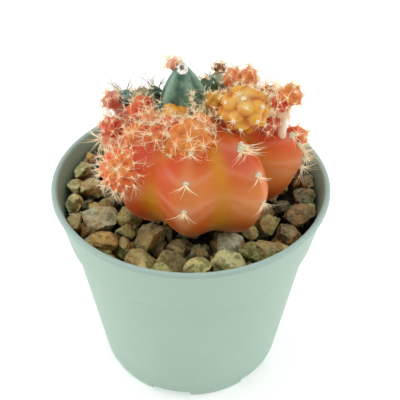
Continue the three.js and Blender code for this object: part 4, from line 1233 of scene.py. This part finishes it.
# %% The table of offsets
HEADS = [
    {"name": "blue_cone", "at": (-2, 4.5, 95.2), "radius": 6.9, "rise": 12.8, "foot": (-127, 23),
     "faces": (-0.03, -0.12, 0.99), "ribs": 5, "cone": 0.72, "skin": "green",
     "colours": ("#7fa58c", "#2f5f4a", "#4f8570"), "spines": ("grey", 2, 1.6)},
    {"name": "yellow_large", "at": (14.8, -5.2, 98), "radius": 6.4, "rise": 4.6, "foot": (63, 15),
     "faces": (-0.08, -0.32, 0.94), "knobs": 40, "skin": "yellow",
     "colours": ("#ecae3c", "#cc680e", "#e2bc6a"), "wool": 0.5, "spines": ("straw", 9, 2.2)},
    {"name": "orange_front", "at": (-0.4, -13.2, 92), "radius": 5.8, "rise": 5, "foot": (-15, 16),
     "faces": (0, -0.7, 0.71), "knobs": 36, "skin": "orange", "colours": ("#e89037", "#d96e1d", "#e89a33"),
     "spines": ("straw", 12, 3.1)},
    {"name": "spiny_left", "at": (-18.9, -16.2, 85.1), "radius": 5.6, "rise": 5.2, "foot": (-53, 75),
     "faces": (-0.25, -0.77, 0.58), "lean": 0.65, "knobs": 24, "skin": "red",
     "colours": ("#f08434", "#d84a1a", "#f0b468"), "spines": ("straw", 7, 3.2)},
    {"name": "yellow_dome", "at": (-5, -1.6, 92.6), "radius": 4.6, "rise": 4, "foot": (-76, 13),
     "knobs": 60, "skin": "yellow", "colours": ("#e4a025", "#d38513", "#e4ac37"),
     "spines": ("straw", 4, 1.8)},
    {"name": "red_left", "at": (-14, 2.4, 92.2), "radius": 3.8, "rise": 4.2, "foot": (-96, 35),
     "skin": "red", "colours": ("#e4672e", "#cf3c16", "#e49044"), "spines": ("straw", 9, 3.0)},
    {"name": "orange_left", "at": (-15.2, -9, 90.4), "radius": 3.9, "rise": 3.8, "foot": (-63, 38),
     "skin": "orange", "colours": ("#e78940", "#d95e22", "#eba05a"), "spines": ("straw", 10, 3.2)},
    {"name": "orange_inner", "at": (-9.6, -11.2, 92.2), "radius": 3.2, "rise": 3.2, "foot": (-48, 22),
     "skin": "orange", "colours": ("#e48135", "#d3551b", "#e7964a"), "spines": ("straw", 10, 3.2)},
    {"name": "crown_left", "at": (-23.2, 0, 88), "radius": 3.0, "rise": 3.1, "foot": (-91, 73),
     "skin": "red", "colours": ("#e1643b", "#cc3a25", "#e58d5a"), "spines": ("straw", 9, 3.0)},
    {"name": "red_brown", "at": (-23, 7, 92.8), "radius": 2.7, "rise": 2.8, "foot": (-101, 59), "stem": 2.2,
     "skin": "brown", "colours": ("#e89a80", "#c8604a", "#dca074"), "spines": ("straw", 12, 2.6)},
    {"name": "teal_left", "at": (-19, 8.6, 92.4), "radius": 2.3, "rise": 2.8, "foot": (-109, 54), "stem": 2,
     "lean": 0.3, "skin": "green", "colours": ("#6f9a8e", "#4b7568", "#7da396"), "spines": ("grey", 4, 8.5)},
    {"name": "dark_small", "at": (-10.6, 8.6, 94.3), "radius": 2.1, "rise": 2, "foot": (-124, 45),
     "stem": 1.4, "lean": 0.4, "skin": "dark_green", "colours": ("#3a5f48", "#213d30", "#4a6e54"),
     "spines": ("grey", 4, 6.5)},
    {"name": "dark_teal", "at": (-7.6, 2, 93.2), "radius": 3.2, "rise": 2.6, "foot": (-98, 24),
     "skin": "dark_green", "colours": ("#274c40", "#142f2a", "#355a4a"), "spines": ("straw", 4, 3.0)},
    {"name": "pink_back", "at": (-11.6, -3, 93.1), "radius": 2.6, "rise": 2.5, "foot": (-79, 36),
     "skin": "pink", "colours": ("#eb9f62", "#df6e3e", "#ebb270"), "spines": ("straw", 9, 3.0)},
    {"name": "pink_middle", "at": (-6, -9.4, 94), "radius": 3.0, "rise": 2.8, "foot": (-43, 11),
     "skin": "pink", "colours": ("#dc643d", "#c63e2a", "#e48b5a"), "spines": ("straw", 10, 3.2)},
    {"name": "pink_right", "at": (2.4, -9, 95), "radius": 3.2, "rise": 3, "foot": (-6, 5), "skin": "pink",
     "colours": ("#e79446", "#da6e30", "#e9a25d"), "spines": ("straw", 10, 3.0)},
    {"name": "yellow_small", "at": (7, -2, 98), "radius": 2.6, "rise": 3.2, "foot": (53, 3),
     "skin": "yellow", "colours": ("#daa02d", "#c17f16", "#d9ad40"), "spines": ("straw", 6, 2.0)},
    {"name": "yellow_green", "at": (4, -1, 94.1), "radius": 2.1, "rise": 2.2, "foot": (74, 1),
     "skin": "yellow", "colours": ("#c3b458", "#9c8f36", "#cfc27a"), "spines": ("straw", 6, 2.4)},
    {"name": "olive", "at": (3.8, 3.2, 95.3), "radius": 2.1, "rise": 2.7, "foot": (171, 9), "skin": "green",
     "colours": ("#8f9440", "#6a6e2c", "#a27f37"), "spines": ("straw", 4, 2.4)},
    {"name": "dark_green", "at": (5, 9.4, 93.9), "radius": 2.8, "rise": 4.6, "foot": (170, 23), "lean": 0.5,
     "skin": "dark_green", "colours": ("#3c6540", "#1e3d28", "#5b7a58"), "spines": ("grey", 3, 5.5)},
    {"name": "yellow_top", "at": (14, 4.4, 95), "radius": 2.9, "rise": 3.4, "foot": (112, 31),
     "skin": "yellow", "colours": ("#e0bb4b", "#ca9c2e", "#cfb96c"), "spines": ("straw", 8, 2.8)},
    {"name": "yellow_right", "at": (20.6, -1.6, 96.3), "radius": 2.5, "rise": 2.9, "foot": (78, 34),
     "skin": "yellow", "colours": ("#deac38", "#c9871b", "#d9ad45"), "spines": ("straw", 6, 2.2)},
    {"name": "twin_left", "at": (12.2, 10.2, 96.9), "radius": 2.5, "rise": 4.6, "foot": (133, 33),
     "stem": 2.5, "skin": "orange", "colours": ("#f2a060", "#e2602a", "#f0b474"),
     "spines": ("straw", 8, 2.6)},
    {"name": "twin_right", "at": (16.7, 9.6, 97.7), "radius": 2.5, "rise": 4.4, "foot": (121, 39),
     "stem": 2.4, "skin": "orange", "colours": ("#f09c58", "#da6a30", "#e8b878"),
     "spines": ("straw", 10, 3.0)},
    {"name": "green_stalk", "at": (7.8, 13.6, 94.4), "radius": 2.6, "rise": 3.6, "foot": (165, 37),
     "lean": 0.4, "skin": "green", "colours": ("#b4ccae", "#86a888", "#b8ccb0"), "spines": ("grey", 3, 3.4)},
    {"name": "cream", "at": (22.6, 6.2, 95.7), "radius": 2.2, "rise": 2.3, "foot": (111, 47), "stem": 1.6,
     "skin": "brown", "colours": ("#ca6e3d", "#a0472a", "#c2b070"), "spines": ("straw", 10, 5.2)},
    {"name": "crown_right", "at": (21.9, -4.8, 92.6), "radius": 2.8, "rise": 2.6, "foot": (74, 45),
     "skin": "red", "colours": ("#d66e36", "#c14323", "#d9904d"), "spines": ("straw", 9, 2.8)},
    {"name": "tall_stem", "at": (26, -4.2, 95.5), "radius": 1.7, "rise": 3.4, "foot": (76, 57), "stem": 1.3,
     "knobs": 130, "skin": "pink", "colours": ("#fdeed6", "#f6cdaa", "#f8e6c4"),
     "spines": ("straw", 2, 1.6)},
    {"name": "tall_orange", "at": (27.4, -4, 101.4), "radius": 3.1, "rise": 3, "on": (26.2, -4.2, 97.6),
     "stem": 1.5, "skin": "orange", "colours": ("#e48932", "#d55e1e", "#d6b253"),
     "spines": ("straw", 9, 3.0)},
    {"name": "tall_red", "at": (24.9, -4.4, 99.2), "radius": 2.3, "rise": 2.4, "on": (25.8, -4.2, 97),
     "stem": 1.3, "skin": "red", "colours": ("#e46030", "#d03e1b", "#e47f43"), "spines": ("straw", 7, 2.6)},
    {"name": "right", "at": (31, 3.4, 82), "radius": 3.1, "rise": 3.8, "foot": (95, 93), "stem": 1.8,
     "skin": "orange", "colours": ("#eb7f36", "#d64d1d", "#eba053"), "spines": ("straw", 9, 3.0)},
    {"name": "cone_tuft", "at": (-5, 6, 105.4), "radius": 1.7, "rise": 1.8, "on": (-2.6, 4.6, 100.3),
     "stem": 0.9, "skin": "pink", "colours": ("#f0a488", "#d06a54", "#dcc89a"), "wool": 0.2,
     "spines": ("straw", 7, 3.4)},
    {"name": "brown_head", "at": (8.6, 15.2, 98.8), "radius": 1.7, "rise": 1.7, "on": (7.9, 14.4, 95.9),
     "stem": 1.5, "skin": "brown", "colours": ("#b0794b", "#82492d", "#b9905a"),
     "spines": ("straw", 7, 2.4)},
    {"name": "back_low", "at": (-19.4, 12.6, 85.4), "radius": 3.6, "rise": 3.2, "foot": (-121, 68),
     "skin": "red", "colours": ("#ea7033", "#d3421b", "#eb924d"), "spines": ("straw", 9, 3.2)},
    {"name": "back_middle", "at": (7.5, 22.8, 88), "radius": 3.8, "rise": 3.4, "foot": (170, 57),
     "skin": "orange", "colours": ("#eba64d", "#e47d2a", "#ebb360"), "spines": ("straw", 9, 3.2)},
    {"name": "back_dark", "at": (-5.4, 18.4, 87.8), "radius": 3.2, "rise": 3.2, "foot": (-154, 55),
     "skin": "dark_green", "colours": ("#4a6f58", "#2b4c3e", "#5c8068"), "spines": ("grey", 3, 3.0)},
    {"name": "back_orange", "at": (16.4, 24.4, 82.6), "radius": 4.6, "rise": 4, "foot": (149, 70),
     "skin": "orange", "colours": ("#eb903d", "#df6320", "#eba253"), "spines": ("straw", 9, 3.2)},
    {"name": "back_red", "at": (-1, 27.6, 81.6), "radius": 3.9, "rise": 3.6, "foot": (-169, 83),
     "skin": "red", "colours": ("#e76a36", "#cc381e", "#eb9055"), "spines": ("straw", 9, 3.2)},
    {"name": "back_yellow", "at": (-15.6, 22.6, 83), "radius": 3.8, "rise": 3.6, "foot": (-139, 85),
     "skin": "yellow", "colours": ("#b4a86a", "#808856", "#c8bc8c"), "spines": ("straw", 9, 3.2)},
    {"name": "back_pink", "at": (27.2, 15.1, 84.4), "radius": 3.2, "rise": 3, "foot": (121, 77),
     "skin": "pink", "colours": ("#eb945a", "#da653b", "#ebab6d"), "spines": ("straw", 9, 3.2)},
]
print("offsets:", len(HEADS))

# %% [markdown]
# ## Where an offset stands
# Every head is drawn upright round its own middle and then turned and carried to its place. It grows from a
# point in the body's skin, or from inside another head, and its axis runs from there to its middle. A head
# without a stalk is turned a little upright, because shoots grow towards the light, and a few face the way
# that they do in the picture. The same turn places its solid.

# %% The place of an offset
HEAD = {"sunk": 3, "upright": 0.35, "swell": 1.04, "seat": 0.6, "neck": 0.3, "least_stalk": 1.1,
        "narrows_by": 0.5, "stalk_tone": 0.5}


def place_of(head):
    """The matrix that carries a head to its place, in millimetres, and the length of its stalk."""
    middle = Vector(head["at"])
    if "on" in head:
        root = Vector(head["on"])
    else:
        root = Vector(on_body(*head["foot"])).lerp(Vector(BODY_MIDDLE), HEAD["sunk"] / BODY["radius"])
    axis = middle - root
    reach = axis.length
    upright = 0 if "on" in head or "stem" in head else HEAD["upright"]
    straight = axis.normalized()
    axis = Vector(head["faces"]) if "faces" in head else straight.lerp(Vector((0, 0, 1)), upright)
    axis.normalize()
    reach /= axis.dot(straight)
    turn = Vector((0, 0, 1)).rotation_difference(axis)
    return Matrix.Translation(middle) @ turn.to_matrix().to_4x4(), reach


def carried(matrix, points):
    """Points of a head that stands at the origin, carried to its place."""
    return np.asarray(points) @ np.array(matrix.to_3x3()).T + np.array(matrix.translation)


print("first stalk is", round(place_of(HEADS[0])[1], 1), "mm long")

# %% [markdown]
# ## The skin of an offset
# A young head isn't ribbed yet: its skin is a close pattern of knobs, each with an areole on its tip. They
# follow the spiral of most plants, where each new knob turns on by the golden angle, so that no two line
# up. Each knob swells the globe like half a ball, and where two meet, the skin keeps a groove. The tall cone
# is older and has smooth ribs in their place. Masks for the knobs and the height go with the points, and so
# do the head's three colours, for one finish to colour every head.

# %% The skin of an offset
KNOB = {"height": 0.28, "base": 0.87, "pointed": 0.4, "large_spacing": 38, "small_spacing": 50, "reach": 0.62,
        "large_head": 3.9, "jitter": 3, "grow": (2, 20), "fade": (116, 140)}
CONE_RIBS = {"fuller": 1.02, "groove": 0.132, "sharpness": 1.6, "grow": (5, 45)}
GOLDEN_ANGLE = 180 * (3 - math.sqrt(5))
HEAD_RINGS = 44
HEAD_COLUMNS = 64
HEAD_TOP, HEAD_END = 3, 138
STALK_RINGS = 6
HEAD_COLOURS = ["crest_colour", "valley_colour", "crown_colour"]


def knob_places(head):
    """Degrees round and degrees down from the crown of a head's knobs, in a spiral."""
    usual = KNOB["large_spacing"] if head["radius"] > KNOB["large_head"] else KNOB["small_spacing"]
    spacing = head.get("knobs", usual)
    share = math.radians(spacing) ** 2 * math.sqrt(3) / 2 / (2 * math.pi)
    count = int((1 - math.cos(math.radians(KNOB["fade"][0]))) / share)
    draw = random.Random(head["name"])
    numbers = np.arange(1, count + 1)
    jitter = np.array([[draw.gauss(0, KNOB["jitter"]), draw.gauss(0, KNOB["jitter"])] for _ in numbers])
    polar = np.degrees(np.arccos(1 - share * numbers)) + jitter[:, 0]
    return (numbers * GOLDEN_ANGLE + draw.uniform(0, 360) + jitter[:, 1]) % 360, polar, spacing


def direction(turn, polar):
    """The unit vector of a direction given in degrees."""
    turn, polar = np.radians(turn), np.radians(polar)
    return np.stack([np.sin(polar) * np.cos(turn), np.sin(polar) * np.sin(turn), np.cos(polar)], -1)


def knob_swell(head, turn, polar):
    """How full a knobby head is at each point, and how near the point is to the tip of a knob."""
    turns, polars, spacing = knob_places(head)
    nearest = np.max(direction(turn, polar) @ direction(turns, polars).T, -1)
    apart = np.degrees(np.arccos(np.clip(nearest, -1, 1))) / (KNOB["reach"] * spacing)
    apart = np.minimum(apart, 1)
    knob = blend(np.sqrt(1 - apart ** 2), 1 - apart, KNOB["pointed"])
    knobby = smooth(polar, *KNOB["grow"]) * (1 - smooth(polar, *KNOB["fade"]))
    return KNOB["base"] + KNOB["height"] * knob * knobby, knob


def rib_swell(head, turn, polar):
    """How full a ribbed cone is at each point, and how near the point is to a ridge."""
    in_rib = (turn / 360 * head["ribs"]) % 1
    away = 2 * np.minimum(in_rib, 1 - in_rib)
    groove = away ** CONE_RIBS["sharpness"] * smooth(polar, *CONE_RIBS["grow"])
    return CONE_RIBS["fuller"] - CONE_RIBS["groove"] * groove, 1 - away


def head_skin(head, turn, polar):
    """Points of a head's skin round its middle, and how near each is to the tip of a knob or to a ridge."""
    turn, polar = np.broadcast_arrays(np.asarray(turn, float), np.asarray(polar, float))
    down = np.radians(polar)
    swell, knob = knob_swell(head, turn, polar)
    wide, tall = np.sin(down), np.cos(down)
    full_height = swell
    if "cone" in head:
        cone = head["cone"]
        upper = np.minimum(polar, 90) / 90
        wide = blend(wide, np.where(polar < 90, upper, wide), cone)
        tall = blend(tall, np.where(polar < 90, 1 - upper, tall), cone)
        ribbed, ridge = rib_swell(head, turn, polar)
        swell = blend(swell, ribbed, min(2 * cone, 1))
        full_height = blend(swell, 1, cone)
        knob = blend(knob, ridge, cone)
    out = head["radius"] * HEAD["swell"] * wide * swell
    lower = min(head["rise"], head["radius"])
    height = np.where(polar < 90, head["rise"], lower) * tall * full_height
    turn = np.radians(turn)
    return np.stack([out * np.cos(turn), out * np.sin(turn), height], -1), knob


def head_piece(head):
    turn = (np.arange(HEAD_COLUMNS) * 360 / HEAD_COLUMNS)[None, :]
    polar = np.linspace(HEAD_TOP, HEAD_END, HEAD_RINGS)[:, None]
    skin, knob = head_skin(head, turn, polar)
    matrix, reach = place_of(head)
    stalk = head.get("stem", head["radius"] * HEAD["seat"])
    end = skin[-1]
    foot = min(-reach, end[:, 2].min() - stalk * HEAD["neck"] - HEAD["least_stalk"])
    round_turn = np.radians(turn[0])
    rings = []
    for down in np.linspace(0, 1, STALK_RINGS + 1)[1:]:
        radius = blend(np.hypot(end[:, 0], end[:, 1]), stalk, smooth(down, 0, HEAD["narrows_by"]))
        rings.append(np.stack([radius * np.cos(round_turn), radius * np.sin(round_turn),
                               blend(end[:, 2], foot, down)], -1))
    points = np.concatenate([[[0, 0, skin[0, :, 2].max()]], skin.reshape(-1, 3), *rings, [[0, 0, foot]]])
    faces = ring_faces(HEAD_RINGS + STALK_RINGS, HEAD_COLUMNS)
    piece = new_object("pup_" + head["name"] + "_skin", carried(matrix, points), faces)
    tail = np.zeros(STALK_RINGS * HEAD_COLUMNS + 1)
    rise = np.broadcast_to(1 - polar / HEAD_END, skin.shape[:2]).ravel()
    keep_on_points(piece, knob=np.concatenate([[1], knob.ravel(), tail + HEAD["stalk_tone"]]),
                   rise=np.concatenate([[1], rise, tail]))
    for title, code in zip(HEAD_COLOURS, head["colours"]):
        keep_on_points(piece, **{title: np.tile(colour(code), (len(points), 1))})
    return piece


print("knobs of the largest offset:", len(knob_places(HEADS[1])[0]))

# %% [markdown]
# ## One finish for every offset
# The heads differ in colour and a little in gloss, so they share one recipe. It reads the three colours
# that each head carries on its points: one for the creases, one for the knobs and one for the crown. The
# masks say where each goes, and the grain keeps the borders between them from being even.

# %% Flesh of the offsets
ROUGHNESS = {"yellow": 0.42, "orange": 0.42, "red": 0.44, "pink": 0.46, "brown": 0.5, "green": 0.4,
             "dark_green": 0.36}
LIGHT_THROUGH = {"subsurface_weight": 0.15, "subsurface_scale": 1 * MM,
                 "subsurface_radius": SALMON["subsurface_radius"]}
HEAD_PAINT = {
    "grain": (260.0, 3000.0, 2600.0), "ragged": (-0.15, 0.15), "valley_to_crest": (0.1, 0.95),
    "crown": (0.72, 1.0, 0.0, 0.8), "knob_tip": ((0.85, 1.0), (0.0, 0.25), "#f3d8c0"),
    "specks": (0.15, "#f3dcc0"), "relief": (0.25, 0.2),
}


def offset_flesh(title, rough):
    material, tree, shader, place = new_material(title, roughness=rough, **LIGHT_THROUGH)
    parts = grained(tree, place, HEAD_PAINT["grain"])
    crest, valley, crown = [stored(tree, name, "Color") for name in HEAD_COLOURS]
    knob = stored(tree, "knob")
    ragged = calculate(tree, "ADD", knob, ranged(tree, parts["Patches"], 0.0, 1.0, *HEAD_PAINT["ragged"]))
    paint = mixed(tree, ranged(tree, ragged, *HEAD_PAINT["valley_to_crest"]), valley, crest)
    paint = mixed(tree, ranged(tree, stored(tree, "rise"), *HEAD_PAINT["crown"]), paint, crown)
    paint = over_span(tree, paint, knob, *HEAD_PAINT["knob_tip"])
    paint_on(tree, shader, over(tree, paint, parts["Specks"], *HEAD_PAINT["specks"]))
    bumped(tree, shader, parts["Height"], *HEAD_PAINT["relief"])
    return material


FLESH = {skin: offset_flesh(skin + "_flesh", rough) for skin, rough in ROUGHNESS.items()}
print("offset finishes:", list(FLESH))

# %% [markdown]
# ## Wool on the blue cone
# The tall blue cone wears its areoles in two odd ways. From its top looks out one large ring of white wool
# with a dark middle, like an eye, and up its front climbs a column of four small spiny cushions. Both are
# grown by the same tree as all other wool: the ring and its middle are two balls, one a little further out.

# %% Grow the wool on the blue cone
COLUMN = [
    ((0.4, -2.6, 96.2), (0.15, -0.7, 0.7)),
    ((0.8, -2.2, 97.5), (-0.3, -0.5, 0.8)),
    ((0.1, -1.8, 98.9), (0.3, -0.4, 0.9)),
    ((0.4, -1.3, 100.4), (0, -0.3, 1)),
]
COLUMN_RULE = {"seed": 9, "spines": (12, 2.2, 0.1), "wool": (0.6, 3), "lean": 1.0, "bend": 0.3}
EYE = {"turn": -90, "polar": 13, "faces": (-0.1, -0.62, 0.78), "seed": 7, "spines": (4, 2, 0.1), "lean": 1.2,
       "bend": 0.3}
EYE_PARTS = [
    {"title": "ring", "kind": "white", "further": 0.0, "wool": (1.25, 4)},
    {"title": "middle", "kind": "brown", "further": 1.0, "wool": (0.55, 4)},
]


def cone_column():
    areoles = [(place, out, 1, 1, 1) for place, out in COLUMN]
    grow("pup_blue_cone_column", areoles, COLUMN_RULE["seed"], "straw", "cream", COLUMN_RULE)


def cone_eye(cone):
    """The woolly ring that looks out from the top of the cone, with its dark middle."""
    matrix, _ = place_of(cone)
    place = Vector(carried(matrix, [head_skin(cone, EYE["turn"], EYE["polar"])[0]])[0])
    out = Vector(EYE["faces"]).normalized()
    for part in EYE_PARTS:
        areole = (place + out * part["further"], out, 1, 1, 1)
        rule = {**EYE, "wool": part["wool"]}
        grow("pup_blue_cone_" + part["title"], [areole], EYE["seed"], "grey", part["kind"], rule)


cone_column()
cone_eye(HEADS[0])
print("cushions in the column:", len(COLUMN), "parts of the eye:", len(EYE_PARTS))

# %% [markdown]
# ## Grow the offsets
# Each head becomes one closed skin that replaces its solid, and one piece of wool and spines that rides
# with it. The spines lean well out, so that they lie like stars over the knobs. Wool is smaller towards the
# crown, where the areoles are young, and larger on the crown itself. The cone, whose wool is there already,
# gets only a small tuft on its tip.

# %% Grow the offsets
HEAD_SPINE = {"thickness": 0.082, "lean": 1.0, "bend": 0.35, "first_seed": 40}
HEAD_WOOL = {"radius": 0.34, "detail": 2, "young": 0.75, "grown": (5, 60)}
CROWN = {"wool": 1.6, "reach": 1.2, "spread": 0.6}


def head_areoles(head):
    """An areole on the tip of every knob, and one on the crown."""
    matrix, _ = place_of(head)
    rotation = np.array(matrix.to_3x3()).T
    areoles = []
    if "cone" not in head:
        turns, polars, _ = knob_places(head)
        places, _ = head_skin(head, turns, polars)
        facing = places / np.array([head["radius"], head["radius"], head["rise"]]) ** 2
        facing /= np.linalg.norm(facing, axis=1)[:, None]
        sizes = blend(HEAD_WOOL["young"], 1.0, smooth(polars, *HEAD_WOOL["grown"]))
        areoles += [(place, out, size, 1, 1)
                    for place, out, size in zip(carried(matrix, places), facing @ rotation, sizes)]
    top = carried(matrix, [[0, 0, head_skin(head, 0, HEAD_TOP)[0][2]]])[0]
    areoles.append((top, np.array([0, 0, 1]) @ rotation, CROWN["wool"], CROWN["reach"], CROWN["spread"]))
    return areoles


def head_wool_and_spines(head, seed):
    kind, each, length = head["spines"]
    rule = {"spines": (each, length, HEAD_SPINE["thickness"]), "lean": head.get("lean", HEAD_SPINE["lean"]),
            "bend": HEAD_SPINE["bend"], "wool": (head.get("wool", HEAD_WOOL["radius"]), HEAD_WOOL["detail"])}
    wool_kind = "grey" if kind == "grey" else "cream"
    return grow("pup_" + head["name"] + "_spines", head_areoles(head), seed, kind, wool_kind, rule)


head_faces = 0
for number, head in enumerate(HEADS):
    piece = head_piece(head)
    piece.data.materials.append(FLESH[head["skin"]])
    finish_piece(piece, "pup_" + head["name"])
    spines = head_wool_and_spines(head, HEAD_SPINE["first_seed"] + number)
    head_faces += len(piece.data.polygons) + len(spines.data.polygons)
print("faces of the offsets:", head_faces)

# %% [markdown]
# ## Floor and light
# The plant stands on a wide white sheet that glows a little, as a light table does, so the ground is almost
# pure white and shadows stay faint. Light is soft and comes from all round, from a white room with a large
# lamp overhead and one at each side: it shows colour and form and casts next to no shadow. The floor and its
# material are stage, not part of the plant. Places and sizes of lamps are in metres.

# %% Floor and light
FLOOR = {"half": 3000, "drop": 0.2, "roughness": 0.9, "glow": 0.35, "grain": (4.0, 300.0, 900.0),
         "patches": ("#fafafa", "#fcfcfc")}
ROOM_STRENGTH = 0.5
LAMPS = [
    {"name": "overhead", "place": (-0.1, 0.1, 1.0), "size": 0.9, "power": 3},
    {"name": "left", "place": (-1.0, 0.1, 0.45), "size": 0.8, "power": 4},
    {"name": "right", "place": (1.0, 0.1, 0.45), "size": 0.8, "power": 4},
]
LAMPS_AIM = Vector((0, 0, 0.06))
WHITE = (1, 1, 1, 1)


def make_floor():
    half = FLOOR["half"]
    corners = [(-half, -half), (half, -half), (half, half), (-half, half)]
    floor = new_object("floor", [(x, y, -FLOOR["drop"]) for x, y in corners], [(0, 1, 2, 3)])
    material, tree, shader, place = new_material("white_sheet", roughness=FLOOR["roughness"],
                                                 emission_color=WHITE, emission_strength=FLOOR["glow"])
    paint_on(tree, shader, patchy(tree, grained(tree, place, FLOOR["grain"]), FLOOR["patches"]))
    floor.data.materials.append(material)


def make_lamp(name, place, size, power):
    data = bpy.data.lights.new(name, "AREA")
    data.shape = "DISK"
    data.size = size
    data.energy = power
    lamp = bpy.data.objects.new(name, data)
    lamp.location = place
    lamp.rotation_euler = (LAMPS_AIM - lamp.location).to_track_quat("-Z", "Y").to_euler()
    bpy.context.scene.collection.objects.link(lamp)


make_floor()
for lamp in LAMPS:
    make_lamp(**lamp)
world = bpy.data.worlds.new("white room")
world.use_nodes = True
background = world.node_tree.nodes["Background"]
background.inputs["Color"].default_value = WHITE
background.inputs["Strength"].default_value = ROOM_STRENGTH
bpy.context.scene.world = world
bpy.context.scene.view_settings.view_transform = "Standard"
print("lamps:", [lamp["name"] for lamp in LAMPS])
